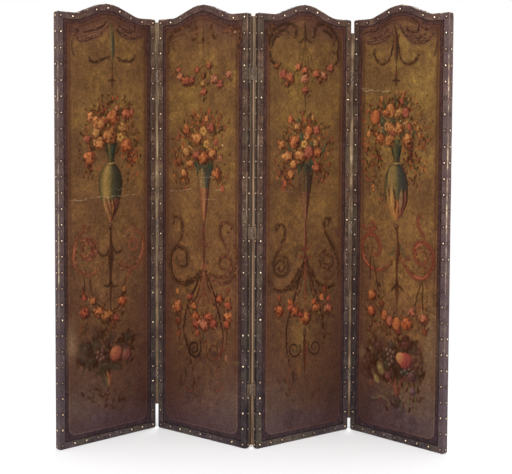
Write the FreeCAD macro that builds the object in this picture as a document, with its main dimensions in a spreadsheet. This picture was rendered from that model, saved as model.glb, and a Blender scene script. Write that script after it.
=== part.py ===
import FreeCAD, Part
import Sketcher
import math
import os

V = FreeCAD.Vector

# Four-leaf folding screen of painted leather over wooden stretcher frames, standing in a zigzag.
# +Z is up, the painted fronts face -Y, and the origin is on the floor under the middle of the whole.
# Each leaf is drawn in its own frame: x along its width, y from its painted front to its back, z up.

doc = FreeCAD.newDocument("folding_screen")
sheet = doc.addObject("Spreadsheet::Sheet", "sizes")

# Driving sizes, in millimetres, degrees for the turns, and plain counts and shares where named so.
SIZES = (
    ("leaf_width", 500),
    ("side_height", 1780),
    ("crown_rise", 47),
    ("shoulder_flat", 80),
    ("curve_share", 0.806),
    ("scoop_share", 0.356),
    ("corner_radius", 8),
    ("frame_thickness", 21),
    ("stile_width", 50),
    ("top_rail_depth", 90),
    ("bottom_rail_depth", 80),
    ("cross_rail_depth", 55),
    ("tenon_length", 30),
    ("tenon_thickness", 7),
    ("tenon_shoulder", 8),
    ("leather_thickness", 2),
    ("band_thickness", 1.5),
    ("band_width", 27),
    ("nail_head_diameter", 11),
    ("nail_head_height", 3),
    ("nail_shank_diameter", 1.8),
    ("nail_shank_length", 9),
    ("nail_point_length", 2),
    ("nail_inset", 16),
    ("nail_clearance", 1),
    ("side_nail_count", 28),
    ("rail_nail_count", 9),
    ("top_edge_nail_count", 5),
    ("plate_nail_clearance", 2),
    ("plate_width", 19),
    ("plate_thickness", 1.5),
    ("knuckle_count", 5),
    ("knuckle_play", 0.15),
    ("pin_diameter", 3.4),
    ("pin_play", 0.05),
    ("pin_head_diameter", 5),
    ("pin_head_height", 1.5),
    ("screw_head_diameter", 5),
    ("screw_head_depth", 1.2),
    ("screw_shank_diameter", 2.4),
    ("screw_length", 14),
    ("strip_thickness", 1.2),
    ("strip_tail", 6),
    ("strip_clearance", 2),
    ("strip_foot_1_2", 105),
    ("strip_head_1_2", 12),
    ("strip_foot_2_3", 12),
    ("strip_head_2_3", 12),
    ("strip_foot_3_4", 50),
    ("strip_head_3_4", 55),
    ("outer_turn", 45),
    ("inner_turn", 38),
    ("cut_overrun", 5),
)
for row, (alias, value) in enumerate(SIZES, start=1):
    sheet.set("A%d" % row, alias)
    sheet.set("B%d" % row, str(value))
    sheet.setAlias("B%d" % row, alias)
doc.recompute()


def size(alias):
    """A driving size, read back from the sheet."""
    return float(sheet.get(alias))


# Places given as shares or counts, chosen by hand from the photograph.
CROSS_RAIL_SHARES = (0.35, 0.67)
HINGE_SPACES = (3, 13, 23)
SCREW_PLACE_SHARES = ((0.32, -0.36), (0.66, 0.0), (0.32, 0.36))

leaf_width = size("leaf_width")
side_height = size("side_height")
crown_rise = size("crown_rise")
shoulder_flat = size("shoulder_flat")
corner_radius = size("corner_radius")
band_thickness = size("band_thickness")
band_width = size("band_width")
leather_thickness = size("leather_thickness")
frame_thickness = size("frame_thickness")
stile_width = size("stile_width")
nail_inset = size("nail_inset")
cut_overrun = size("cut_overrun")
skin_thickness = band_thickness + leather_thickness
leaf_thickness = frame_thickness + 2 * skin_thickness
mid_thickness = leaf_thickness / 2

# The hinge pins stand off the face and off the edge by the same amount, which lets the domed
# nails of two leaves pass each other both when the leaves are shut and when they lie in line.
pin_offset = size("nail_head_height") + size("nail_clearance") / 2
nail_spaces = int(size("side_nail_count")) - 1
nail_pitch = (side_height - 2 * nail_inset) / nail_spaces
plate_height = nail_pitch - size("nail_head_diameter") - 2 * size("plate_nail_clearance")

# Where the expressions of the bound pieces need a worked-out size, they use these.
SKIN = "(sizes.band_thickness + sizes.leather_thickness)"
THICKNESS = "(sizes.frame_thickness + 2 * %s)" % SKIN
PIN_OFFSET = "(sizes.nail_head_height + sizes.nail_clearance / 2)"
NAIL_PITCH = "((sizes.side_height - 2 * sizes.nail_inset) / (sizes.side_nail_count - 1))"
PLATE_HEIGHT = "(%s - sizes.nail_head_diameter - 2 * sizes.plate_nail_clearance)" % NAIL_PITCH
KNUCKLE = "(%s / sizes.knuckle_count)" % PLATE_HEIGHT
STILE_INNER = "(sizes.band_thickness + sizes.stile_width)"
TENON_WIDTH_LESS = "2 * sizes.tenon_shoulder"


# The leaf's outline: two flat shoulders, a scoop up from each, a straight slope and a broad crown.
half_span = leaf_width / 2 - shoulder_flat
radii_sum = size("curve_share") * (half_span ** 2 + crown_rise ** 2) / (2 * crown_rise)
scoop_radius = size("scoop_share") * radii_sum
crown_radius = radii_sum - scoop_radius
slope_length = math.sqrt(half_span ** 2 + crown_rise ** 2 - 2 * radii_sum * crown_rise)
slope = math.atan2(half_span, radii_sum - crown_rise) - math.atan2(slope_length, radii_sum)
scoop_centre = V(shoulder_flat, 0, side_height + scoop_radius)
crown_centre = V(leaf_width / 2, 0, side_height + crown_rise - crown_radius)


def polar(centre, radius, angle):
    """The point at an angle from the upright, clockwise, on a circle in the x-z plane."""
    return centre + V(radius * math.sin(angle), 0, radius * math.cos(angle))


def arch_points(inset):
    """Left half of the arch, moved in by inset: scoop start, middle and end, crown start, middle and top."""
    scoop = [polar(scoop_centre, scoop_radius + inset, math.pi - slope * part) for part in (0, 0.5, 1)]
    crown = [polar(crown_centre, crown_radius - inset, -slope * part) for part in (1, 0.5, 0)]
    return scoop, crown


def mirrored(point):
    """The same point on the other half of the leaf."""
    return V(leaf_width - point.x, point.y, point.z)


def line(start, end):
    return Part.LineSegment(start, end).toShape()


def arc(start, middle, end):
    return Part.Arc(start, middle, end).toShape()


def corner(centre, radius, start_angle, sharp_point):
    """A quarter turn clockwise round a corner, or nothing where the inset has eaten the radius."""
    if radius <= 0:
        return [sharp_point], None
    points = [polar(centre, radius, start_angle + math.pi * part / 4) for part in (0, 1, 2)]
    return points, arc(*points)


def outline(inset):
    """The face of the leaf in the x-z plane, moved in all round by inset."""
    scoop, crown = arch_points(inset)
    radius = corner_radius - inset
    low, high = inset, side_height - inset
    left, right = inset, leaf_width - inset
    near, far = corner_radius, leaf_width - corner_radius
    floor, shoulder = corner_radius, side_height - corner_radius
    bottom_left = corner(V(near, 0, floor), radius, math.pi, V(left, 0, low))
    top_left = corner(V(near, 0, shoulder), radius, math.pi * 3 / 2, V(left, 0, high))
    top_right = corner(V(far, 0, shoulder), radius, 0, V(right, 0, high))
    bottom_right = corner(V(far, 0, floor), radius, math.pi / 2, V(right, 0, low))
    right_scoop = [mirrored(point) for point in reversed(scoop)]
    right_crown = [mirrored(point) for point in reversed(crown)]
    edges = [
        line(bottom_left[0][-1], top_left[0][0]),
        line(top_left[0][-1], scoop[0]),
        arc(*scoop),
        line(scoop[-1], crown[0]),
        arc(*crown),
        arc(*right_crown),
        line(right_crown[-1], right_scoop[0]),
        arc(*right_scoop),
        line(right_scoop[-1], top_right[0][0]),
        line(top_right[0][-1], bottom_right[0][0]),
        line(bottom_right[0][-1], bottom_left[0][0]),
    ]
    edges += [turn[1] for turn in (bottom_left, top_left, top_right, bottom_right) if turn[1]]
    ordered = Part.__sortEdges__(edges)
    return Part.Face(Part.Wire(ordered))


def slab(inset, front, depth):
    """The outline made solid, from y = front, depth thick."""
    shape = outline(inset).extrude(V(0, depth, 0))
    shape.translate(V(0, front, 0))
    return shape


def arch_height(x, inset):
    """Height and tilt of the arch at x, moved in by inset. The tilt is the slope's angle, up to the right."""
    scoop, crown = arch_points(inset)
    across = min(x, leaf_width - x)
    if across <= scoop[0].x:
        height, tilt = scoop[0].z, 0
    elif across <= scoop[-1].x:
        tilt = math.asin((across - scoop_centre.x) / (scoop_radius + inset))
        height = scoop_centre.z - (scoop_radius + inset) * math.cos(tilt)
    elif across <= crown[0].x:
        tilt = slope
        height = scoop[-1].z + (across - scoop[-1].x) * math.tan(slope)
    else:
        tilt = math.asin((crown_centre.x - across) / (crown_radius - inset))
        height = crown_centre.z + (crown_radius - inset) * math.cos(tilt)
    return height, (tilt if x <= leaf_width / 2 else -tilt)


def prism(points):
    """A solid over a polygon of (x, z) points, right through the leaf's thickness and past it."""
    corners = [V(x, -cut_overrun, z) for x, z in points]
    face = Part.Face(Part.makePolygon(corners + corners[:1]))
    return face.extrude(V(0, leaf_thickness + 2 * cut_overrun, 0))


# How the leaves stand: the turn of each about Z, and the side of the leaf that each hinge is on.
LEAF_COUNT = 4
TURN_SIGNS = (1, -1, 1, -1)
HINGE_AT_FRONT = (True, False, True)
turns = [size("outer_turn"), size("inner_turn"), size("inner_turn"), size("outer_turn")]
turns = [sign * turn for sign, turn in zip(TURN_SIGNS, turns)]


def axis_depth(fold):
    """How deep the pins of a fold lie in the leaf's own frame: just off its front or its back."""
    return -pin_offset if HINGE_AT_FRONT[fold] else leaf_thickness + pin_offset


def stand_leaves():
    """Each leaf's placement, chained from hinge to hinge, with the middle hinge over the origin."""
    places = [FreeCAD.Placement(V(0, 0, 0), FreeCAD.Rotation(V(0, 0, 1), turns[0]))]
    for fold in range(LEAF_COUNT - 1):
        pin = places[fold].multVec(V(leaf_width + pin_offset, axis_depth(fold), 0))
        turn = FreeCAD.Rotation(V(0, 0, 1), turns[fold + 1])
        start = pin - turn.multVec(V(-pin_offset, axis_depth(fold), 0))
        places.append(FreeCAD.Placement(start, turn))
    return places


places = stand_leaves()
subparts = {}


def keep(node, obj, place):
    """Names a sub-part, and stands it with its leaf. place is the leaf's own placement."""
    obj.Label = node
    obj.Placement = place.multiply(obj.Placement)
    subparts[node] = obj
    return obj


def feature(node, shape, place):
    """A sub-part whose shape is worked out here from the sheet's sizes."""
    obj = doc.addObject("Part::Feature", node)
    obj.Shape = shape
    return keep(node, obj, place)


def bound(obj, **expressions):
    """Ties properties of an object to the sheet. x, y and z are its corner or centre."""
    for prop, text in expressions.items():
        path = ".Placement.Base." + prop if prop in "xyz" else prop
        obj.setExpression(path, text)
    return obj


def bound_box(name, Length, Width, Height, x="0", y="0", z="0"):
    box = doc.addObject("Part::Box", name)
    return bound(box, Length=Length, Width=Width, Height=Height, x=x, y=y, z=z)


def bound_cylinder(name, Radius, Height, x="0", y="0", z="0"):
    cylinder = doc.addObject("Part::Cylinder", name)
    return bound(cylinder, Radius=Radius, Height=Height, x=x, y=y, z=z)


def fused(name, pieces):
    fuse = doc.addObject("Part::MultiFuse", name)
    fuse.Shapes = pieces
    return fuse


# Rails of the stretcher frame: boards between the stiles, with a tenon at each end.
def rail_with_tenons(name, low, depth):
    """A straight rail from height low, depth deep, and a tenon into each stile."""
    middle = "(%s - sizes.tenon_thickness) / 2" % THICKNESS
    board = bound_box(name + "_board", "sizes.leaf_width - 2 * %s" % STILE_INNER, "sizes.frame_thickness",
                      depth, x=STILE_INNER, y=SKIN, z=low)
    tongue = bound_box(name + "_tongue", "sizes.leaf_width - 2 * (%s - sizes.tenon_length)" % STILE_INNER,
                       "sizes.tenon_thickness", "%s - %s" % (depth, TENON_WIDTH_LESS),
                       x=STILE_INNER + " - sizes.tenon_length", y=middle, z="%s + sizes.tenon_shoulder" % low)
    return fused(name, [board, tongue])


TOP_RAIL_LOW = "(sizes.side_height - sizes.top_rail_depth)"


def tenon_spans():
    """Bottom and top of each tenon in a stile, from the foot up."""
    shoulder = size("tenon_shoulder")
    spans = [(band_thickness, size("bottom_rail_depth"))]
    spans += [(side_height * share, size("cross_rail_depth")) for share in CROSS_RAIL_SHARES]
    spans += [(side_height - size("top_rail_depth"), size("top_rail_depth") - band_thickness)]
    return [(low + shoulder, low + depth - shoulder) for low, depth in spans]


frame_slab = slab(band_thickness, skin_thickness, frame_thickness)
tenon_length = size("tenon_length")
tenon_thickness = size("tenon_thickness")
tenon_front = (leaf_thickness - tenon_thickness) / 2
stile_inner = band_thickness + stile_width


def stile(side_left):
    """An upright of the frame, rounded at its outer corners, with a mortise for each tenon."""
    start = 0 if side_left else leaf_width - stile_inner
    keep_box = Part.makeBox(stile_inner, leaf_thickness, side_height, V(start, 0, 0))
    body = frame_slab.common(keep_box)
    inner = stile_inner - tenon_length if side_left else leaf_width - stile_inner
    for low, high in tenon_spans():
        mortise = Part.makeBox(tenon_length, tenon_thickness, high - low, V(inner, tenon_front, low))
        body = body.cut(mortise)
    return body


def top_rail():
    """The arched rail between the stiles, cut from one wide board."""
    low = side_height - size("top_rail_depth")
    span = leaf_width - 2 * stile_inner
    board = Part.makeBox(span, leaf_thickness, size("top_rail_depth") + crown_rise, V(stile_inner, 0, low))
    tenon_low, tenon_high = tenon_spans()[-1]
    tongue = Part.makeBox(span + 2 * tenon_length, tenon_thickness, tenon_high - tenon_low,
                          V(stile_inner - tenon_length, tenon_front, tenon_low))
    return frame_slab.common(board).fuse(tongue).removeSplitter()


# The edge bands: strips of leather folded round the leaf's edges and on to both faces.
def band_ring():
    """All four bands in one channel-shaped ring."""
    whole = slab(0, 0, leaf_thickness)
    core = slab(band_thickness, band_thickness, leaf_thickness - 2 * band_thickness)
    window = slab(band_width, -cut_overrun, leaf_thickness + 2 * cut_overrun)
    return whole.cut(core).cut(window)


def band_regions():
    """Where the ring is cut into bands: mitred at the corners, seen from the front."""
    out = cut_overrun
    wide, tall, width = leaf_width + out, side_height + out, band_width
    inner_wide, inner_tall = leaf_width - band_width, side_height - band_width
    above = side_height + crown_rise + out
    left = [(-out, -out), (width, width), (width, inner_tall), (-out, tall)]
    right = [(wide, -out), (wide, tall), (inner_wide, inner_tall), (inner_wide, width)]
    bottom = [(-out, -out), (wide, -out), (inner_wide, width), (width, width)]
    top = [(-out, tall), (width, inner_tall), (inner_wide, inner_tall), (wide, tall)]
    top += [(wide, above), (-out, above)]
    return left, right, top, bottom


# The round-headed nails, the screws and the pins are turned shapes.
def turned_body(name, points, dome=None):
    """A body revolved about Z from a closed profile whose corners are bound to the sheet.

    Each point is a pair of expressions, across and up. dome is the expression of the radius of the
    arc that replaces the first side."""
    body = doc.addObject("PartDesign::Body", name)
    sketch = body.newObject("Sketcher::SketchObject", name + "_profile")
    plane = [f for f in body.Origin.OriginFeatures if f.Role == "XZ_Plane"][0]
    sketch.AttachmentSupport = [(plane, "")]
    sketch.MapMode = "FlatFace"
    corners = sheet_values(points)
    count = len(corners)
    for number in range(count):
        start, end = corners[number], corners[(number + 1) % count]
        if number == 0 and dome:
            sketch.addGeometry(dome_arc(start, end))
            # This arc runs the other way round, from the rim to the top.
            sketch.addConstraint(Sketcher.Constraint("Radius", 0, 1.0))
            sketch.setExpression("Constraints[%d]" % (sketch.ConstraintCount - 1), dome)
        else:
            sketch.addGeometry(Part.LineSegment(start, end))
    ends = {number: (1, 2) for number in range(count)}
    if dome:
        ends[0] = (2, 1)
    for number in range(count):
        following = (number + 1) % count
        join = Sketcher.Constraint("Coincident", number, ends[number][1], following, ends[following][0])
        sketch.addConstraint(join)
        for kind, text, value in zip(("DistanceX", "DistanceY"), points[number], corners[number]):
            place = sketch.addConstraint(Sketcher.Constraint(kind, -1, 1, number, ends[number][0], value))
            if text != "0":
                sketch.setExpression("Constraints[%d]" % place, text)
    turn = body.newObject("PartDesign::Revolution", name + "_turned")
    turn.Profile = sketch
    turn.ReferenceAxis = (sketch, ["V_Axis"])
    turn.Angle = 360
    body.Tip = turn
    return body


def sheet_values(points):
    """The corners of a profile as plain points, worked out by the sheet itself."""
    probe = doc.addObject("App::FeaturePython", "probe")
    probe.addProperty("App::PropertyFloat", "value")
    found = []
    for pair in points:
        numbers = []
        for text in pair:
            probe.setExpression("value", text)
            doc.recompute()
            numbers.append(probe.value)
        found.append(V(numbers[0], numbers[1], 0))
    doc.removeObject(probe.Name)
    return found


def dome_arc(top, rim):
    """The circle through the top of a dome, square to the axis there, and its rim."""
    rise, reach = top.y - rim.y, rim.x
    radius = (reach ** 2 + rise ** 2) / (2 * rise)
    circle = Part.Circle(V(0, top.y - radius, 0), V(0, 0, 1), radius)
    start = math.atan2(rim.y - top.y + radius, reach)
    return Part.ArcOfCircle(circle, start, math.pi / 2)


HEAD_R = "sizes.nail_head_diameter / 2"
SHANK_R = "sizes.nail_shank_diameter / 2"
nail_body = turned_body("nail", [
    ("0", "sizes.nail_head_height"),
    (HEAD_R, "0"),
    (SHANK_R, "0"),
    (SHANK_R, "-(sizes.nail_shank_length - sizes.nail_point_length)"),
    ("0", "-sizes.nail_shank_length"),
], dome="((%s) ^ 2 + sizes.nail_head_height ^ 2) / (2 * sizes.nail_head_height)" % HEAD_R)

SCREW_R = "sizes.screw_shank_diameter / 2"
screw_body = turned_body("screw", [
    ("0", "0"),
    ("sizes.screw_head_diameter / 2", "0"),
    (SCREW_R, "-sizes.screw_head_depth"),
    (SCREW_R, "-(sizes.screw_length - sizes.nail_point_length)"),
    ("0", "-sizes.screw_length"),
])

PIN_R = "sizes.pin_diameter / 2"
PIN_HEAD_R = "sizes.pin_head_diameter / 2"
pin_body = turned_body("pin", [
    ("0", "%s / 2 + sizes.pin_head_height" % PLATE_HEIGHT),
    (PIN_HEAD_R, "%s / 2" % PLATE_HEIGHT),
    (PIN_R, "%s / 2" % PLATE_HEIGHT),
    (PIN_R, "-%s / 2" % PLATE_HEIGHT),
    (PIN_HEAD_R, "-%s / 2" % PLATE_HEIGHT),
    ("0", "-%s / 2 - sizes.pin_head_height" % PLATE_HEIGHT),
])


# One half of a butt hinge, with its pin's axis on Z and its own leaf of the screen towards -X and +Y.
def hinge_plate(name, odd_knuckles):
    """A plate on the leaf's edge, tongues round to the knuckles, and screw holes. The half with the
    odd knuckles holds the pin tight, and the other half turns on it."""
    plate = bound_box(name + "_plate", "sizes.plate_thickness", "sizes.plate_width", PLATE_HEIGHT,
                      x="-%s" % PIN_OFFSET, y=PIN_OFFSET, z="-%s / 2" % PLATE_HEIGHT)
    pieces = [plate]
    first = 0 if odd_knuckles else 1
    for number in range(first, int(size("knuckle_count")), 2):
        low = "%s * %d - %s / 2 + sizes.knuckle_play" % (KNUCKLE, number, PLATE_HEIGHT)
        height = "%s - 2 * sizes.knuckle_play" % KNUCKLE
        pieces.append(bound_cylinder("%s_knuckle_%d" % (name, number), PIN_OFFSET, height, z=low))
        pieces.append(bound_box("%s_tongue_%d" % (name, number), "sizes.plate_thickness", PIN_OFFSET,
                                height, x="-%s" % PIN_OFFSET, z=low))
    play = "0" if odd_knuckles else "sizes.pin_play"
    bore_length = PLATE_HEIGHT + " + 2 * sizes.cut_overrun"
    bore_low = "-%s / 2 - sizes.cut_overrun" % PLATE_HEIGHT
    holes = [bound_cylinder(name + "_bore", "%s + %s" % (PIN_R, play), bore_length, z=bore_low)]
    outwards = FreeCAD.Rotation(V(0, 1, 0), 90)
    for number, (across_share, up_share) in enumerate(SCREW_PLACE_SHARES):
        across = "%s + sizes.plate_width * %s" % (PIN_OFFSET, across_share)
        up = "%s * %s" % (PLATE_HEIGHT, up_share)
        seat = doc.addObject("Part::Cone", "%s_screw_seat_%d" % (name, number))
        seat_low = "-%s + sizes.plate_thickness - sizes.screw_head_depth" % PIN_OFFSET
        bound(seat, Radius1=SCREW_R, Radius2="sizes.screw_head_diameter / 2",
              Height="sizes.screw_head_depth", x=seat_low, y=across, z=up)
        bore = bound_cylinder("%s_screw_bore_%d" % (name, number), SCREW_R, "sizes.plate_thickness",
                              x="-" + PIN_OFFSET, y=across, z=up)
        for hole in (seat, bore):
            hole.Placement.Rotation = outwards
            holes.append(hole)
    cut = doc.addObject("Part::Cut", name)
    cut.Base = fused(name + "_solid", pieces)
    cut.Tool = fused(name + "_holes", holes)
    return cut


tight_half = hinge_plate("tight_half", True)
running_half = hinge_plate("running_half", False)
doc.recompute()


def placed(shape, position, turned):
    """A copy of a turned piece, with its own +Z along the given direction."""
    copy = shape.copy()
    place = FreeCAD.Placement(position, FreeCAD.Rotation(V(0, 0, 1), turned))
    copy.Placement = place.multiply(shape.Placement)
    return copy


def row(start, end, count):
    """Evenly spaced values, both ends included."""
    return [start + (end - start) * number / (count - 1) for number in range(count)]


side_nail_heights = row(nail_inset, side_height - nail_inset, int(size("side_nail_count")))
rail_nail_places = row(nail_inset, leaf_width - nail_inset, int(size("rail_nail_count")))
top_edge_places = row(nail_inset, leaf_width - nail_inset, int(size("top_edge_nail_count")))
hinge_heights = [nail_inset + nail_pitch * (space + 0.5) for space in HINGE_SPACES]


def nails():
    """Every domed nail of a leaf: round both faces, down both edges and along the arched top edge."""
    nail = nail_body.Shape
    found = []
    faces = ((0, V(0, -1, 0)), (leaf_thickness, V(0, 1, 0)))
    for depth, outward in faces:
        for x in (nail_inset, leaf_width - nail_inset):
            found += [placed(nail, V(x, depth, z), outward) for z in side_nail_heights]
        for x in rail_nail_places[1:-1]:
            height, tilt = arch_height(x, nail_inset)
            found += [placed(nail, V(x, depth, z), outward) for z in (nail_inset, height)]
    for x, outward in ((0, V(-1, 0, 0)), (leaf_width, V(1, 0, 0))):
        found += [placed(nail, V(x, mid_thickness, z), outward) for z in side_nail_heights]
    for x in top_edge_places:
        height, tilt = arch_height(x, 0)
        found.append(placed(nail, V(x, mid_thickness, height), V(-math.sin(tilt), 0, math.cos(tilt))))
    return Part.makeCompound(found)


def hinge_frame(fold, on_left_leaf, height):
    """Where a hinge stands in one leaf's own frame: its pin's axis, at the given height."""
    x = leaf_width + pin_offset if on_left_leaf else -pin_offset
    return FreeCAD.Placement(V(x, axis_depth(fold), height), FreeCAD.Rotation())


def hinge_halves(shape, fold, on_left_leaf):
    """The three halves that one leaf carries on one fold."""
    half = shape.copy()
    if not on_left_leaf:
        half = half.mirror(V(0, 0, 0), V(1, 0, 0))
    if not HINGE_AT_FRONT[fold]:
        half = half.mirror(V(0, 0, 0), V(0, 1, 0))
    found = []
    for height in hinge_heights:
        copy = half.copy()
        copy.Placement = hinge_frame(fold, on_left_leaf, height).multiply(copy.Placement)
        found.append(copy)
    return Part.makeCompound(found)


def hinge_screws(leaf):
    """The countersunk screws of every hinge plate that a leaf carries."""
    found = []
    for fold, on_left_leaf in ((leaf - 1, False), (leaf, True)):
        if fold < 0 or fold >= LEAF_COUNT - 1:
            continue
        side = 1 if HINGE_AT_FRONT[fold] else -1
        start = 0 if HINGE_AT_FRONT[fold] else leaf_thickness
        outward = 1 if on_left_leaf else -1
        surface = leaf_width if on_left_leaf else 0
        for height in hinge_heights:
            for across_share, up_share in SCREW_PLACE_SHARES:
                place = V(surface + outward * size("plate_thickness"),
                          start + side * size("plate_width") * across_share,
                          height + plate_height * up_share)
                found.append(placed(screw_body.Shape, place, V(outward, 0, 0)))
    return Part.makeCompound(found)


def hinge_strip(fold):
    """The flexible strip that closes a fold between its hinges, in the left leaf's own frame."""
    left, right = places[fold], places[fold + 1]
    inward = 1 if HINGE_AT_FRONT[fold] else -1
    face = 0 if HINGE_AT_FRONT[fold] else leaf_thickness
    thick, tail = size("strip_thickness"), size("strip_tail")
    to_left = left.inverse().multiply(right)

    def near(across, depth):
        return V(leaf_width + across, face + inward * depth, 0)

    def far(across, depth):
        return to_left.multVec(V(-across, face + inward * depth, 0))

    section = [near(0, tail), near(0, 0), far(0, 0), far(0, tail)]
    section += [far(thick, tail), far(thick, thick), near(thick, thick), near(thick, tail)]
    side = ("1_2", "2_3", "3_4")[fold]
    clear = plate_height / 2 + size("strip_clearance")
    ends = [size("strip_foot_" + side)]
    for height in hinge_heights:
        ends += [height - clear, height + clear]
    ends.append(side_height - size("strip_head_" + side))
    found = []
    for low, high in zip(ends[0::2], ends[1::2]):
        corners = [V(point.x, point.y, low) for point in section]
        face_low = Part.Face(Part.makePolygon(corners + corners[:1]))
        found.append(face_low.extrude(V(0, 0, high - low)))
    return Part.makeCompound(found)


# Put the leaves together. Each leaf is the same pieces; what differs is where it stands.
def build_leaf(leaf, ring_pieces, shared):
    """The pieces of one leaf, as its own sub-parts."""
    name = "leaf_%d_" % (leaf + 1)
    place = places[leaf]
    for node, shape in shared.items():
        feature(name + node, shape, place)
    keep(name + "bottom_rail", rail_with_tenons(name + "bottom_rail", "sizes.band_thickness",
                                                "sizes.bottom_rail_depth"), place)
    rails = [rail_with_tenons("%scross_rail_%d" % (name, number), "sizes.side_height * %s" % share,
                              "sizes.cross_rail_depth") for number, share in enumerate(CROSS_RAIL_SHARES)]
    cross = doc.addObject("Part::Compound", name + "cross_rails")
    cross.Links = rails
    keep(name + "cross_rails", cross, place)
    left, right, top, bottom = ring_pieces
    feature(name + "side_bands", Part.makeCompound([left, right]), place)
    feature(name + "top_band", top, place)
    feature(name + "bottom_band", bottom, place)
    feature(name + "hinge_screws", hinge_screws(leaf), place)


ring = band_ring()
ring_pieces = [ring.common(prism(region)) for region in band_regions()]
shared = {
    "left_stile": stile(True),
    "right_stile": stile(False),
    "top_rail": top_rail(),
    "painted_front": slab(band_thickness, band_thickness, leather_thickness),
    "leather_back": slab(band_thickness, leaf_thickness - skin_thickness, leather_thickness),
    "nails": nails(),
}
for leaf in range(LEAF_COUNT):
    build_leaf(leaf, ring_pieces, shared)

for fold in range(LEAF_COUNT - 1):
    name = "fold_%d_%d_" % (fold + 1, fold + 2)
    feature(name + "left_plates", hinge_halves(tight_half.Shape, fold, True), places[fold])
    feature(name + "right_plates", hinge_halves(running_half.Shape, fold, False), places[fold + 1])
    pins = []
    for height in hinge_heights:
        pin = pin_body.Shape.copy()
        pin.Placement = hinge_frame(fold, True, height).multiply(pin.Placement)
        pins.append(pin)
    feature(name + "pins", Part.makeCompound(pins), places[fold])
    feature(name + "strip", hinge_strip(fold), places[fold])
doc.recompute()

# Move the whole so that the origin is on the floor, under the middle of its box.
whole = FreeCAD.BoundBox()
for obj in subparts.values():
    whole.add(obj.Shape.BoundBox)
shift = V(-whole.Center.x, -whole.Center.y, 0)
for obj in subparts.values():
    obj.Placement.Base = obj.Placement.Base + shift
doc.recompute()

# Check every object and every sub-part before anything is written.
for obj in doc.Objects:
    if "Invalid" in obj.State or "Error" in obj.State:
        raise RuntimeError("%s is %s" % (obj.Name, obj.State))
os.makedirs("parts", exist_ok=True)
for node, obj in sorted(subparts.items()):
    shape = obj.Shape
    if shape.isNull() or not shape.isValid():
        raise RuntimeError("%s has no valid shape" % node)
    shape.exportStep("parts/%s.step" % node)

print("sub-parts", len(subparts))
print("overall size", [round(length, 1) for length in (whole.XLength, whole.YLength, whole.ZLength)])
print("lowest point", round(whole.ZMin, 3))
for fold in range(LEAF_COUNT - 1):
    pin = places[fold].multVec(V(leaf_width + pin_offset, axis_depth(fold), 0)) + shift
    print("pin line", fold + 1, [round(value, 4) for value in (pin.x, pin.y)])
for leaf, place in enumerate(places):
    foot = place.multVec(V(leaf_width / 2, mid_thickness, 0)) + shift
    print("foot of leaf", leaf + 1, [round(value, 4) for value in (foot.x, foot.y)], "turned", turns[leaf])
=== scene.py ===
# %% [markdown]
# # A painted leather folding screen
# This screen has four leaves hinged edge to edge. Each leaf is a stretcher of wood with an arched
# top, covered with painted leather, and its edges are bound with nailed strips of leather. The
# wood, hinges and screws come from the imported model. The soft parts are made here, over it.

# %% Load the frame
import math

import bpy
import numpy as np
from mathutils import Matrix


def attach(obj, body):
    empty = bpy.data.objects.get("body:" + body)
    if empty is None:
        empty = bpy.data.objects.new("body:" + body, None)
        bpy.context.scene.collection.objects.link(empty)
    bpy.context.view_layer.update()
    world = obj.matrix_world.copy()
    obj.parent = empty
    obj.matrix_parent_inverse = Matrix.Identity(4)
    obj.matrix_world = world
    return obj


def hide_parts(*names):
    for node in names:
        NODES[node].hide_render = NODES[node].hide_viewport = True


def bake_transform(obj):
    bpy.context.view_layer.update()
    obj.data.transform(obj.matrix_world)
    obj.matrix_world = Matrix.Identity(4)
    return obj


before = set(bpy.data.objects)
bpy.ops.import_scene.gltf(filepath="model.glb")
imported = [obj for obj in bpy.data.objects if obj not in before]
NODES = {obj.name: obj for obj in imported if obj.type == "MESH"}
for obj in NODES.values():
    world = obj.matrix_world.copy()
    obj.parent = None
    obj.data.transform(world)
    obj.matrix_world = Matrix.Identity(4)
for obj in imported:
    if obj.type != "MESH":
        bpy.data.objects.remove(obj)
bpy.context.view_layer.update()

# %% [markdown]
# ## Where the leaves stand
# The leaves stand in a zigzag, so a leaf's own sheet of directions is handier than the room's:
# across the leaf, into its thickness, and up. The origins follow from the pins of the folds, just
# as in the solids, so nothing has to be fitted by eye.

# %% The leaves' own directions
MM = 0.001
LEAF_WIDTH, SIDE_HEIGHT, LEAF_THICKNESS = 500 * MM, 1780 * MM, 28 * MM
CROWN_RISE, SHOULDER_FLAT = 47 * MM, 80 * MM
PIN_OFFSET = 3.5 * MM
OUTER_TURN, INNER_TURN = 45, 38
TURNS = {1: OUTER_TURN, 2: -INNER_TURN, 3: INNER_TURN, 4: -OUTER_TURN}


def directions(leaf):
    """The leaf's across and into directions: its turn's cosine and sine, and the same a quarter on."""
    turn = math.radians(TURNS[leaf])
    return np.array([math.cos(turn), math.sin(turn), 0]), np.array([-math.sin(turn), math.cos(turn), 0])


# From the middle fold's pin to an outer one: a leaf's width and thickness, each with both offsets.
MIDDLE_PIN_Y = -119.1171 * MM
span, through = LEAF_WIDTH + 2 * PIN_OFFSET, LEAF_THICKNESS + 2 * PIN_OFFSET
cosine, sine = math.cos(math.radians(INNER_TURN)), math.sin(math.radians(INNER_TURN))
PIN_X, PIN_Y = span * cosine + through * sine, MIDDLE_PIN_Y + span * sine - through * cosine
PINS = {1: (-PIN_X, PIN_Y), 2: (0, MIDDLE_PIN_Y), 3: (PIN_X, PIN_Y)}


def corner(leaf):
    """The leaf's left front foot: the pin's place, less the pin's own place on the leaf."""
    along, into = directions(leaf)
    pin = np.array([*PINS[max(leaf - 1, 1)], 0])
    across = LEAF_WIDTH + PIN_OFFSET if leaf == 1 else -PIN_OFFSET
    depth = LEAF_THICKNESS + PIN_OFFSET if leaf == 3 else -PIN_OFFSET
    return pin - across * along - depth * into


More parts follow.
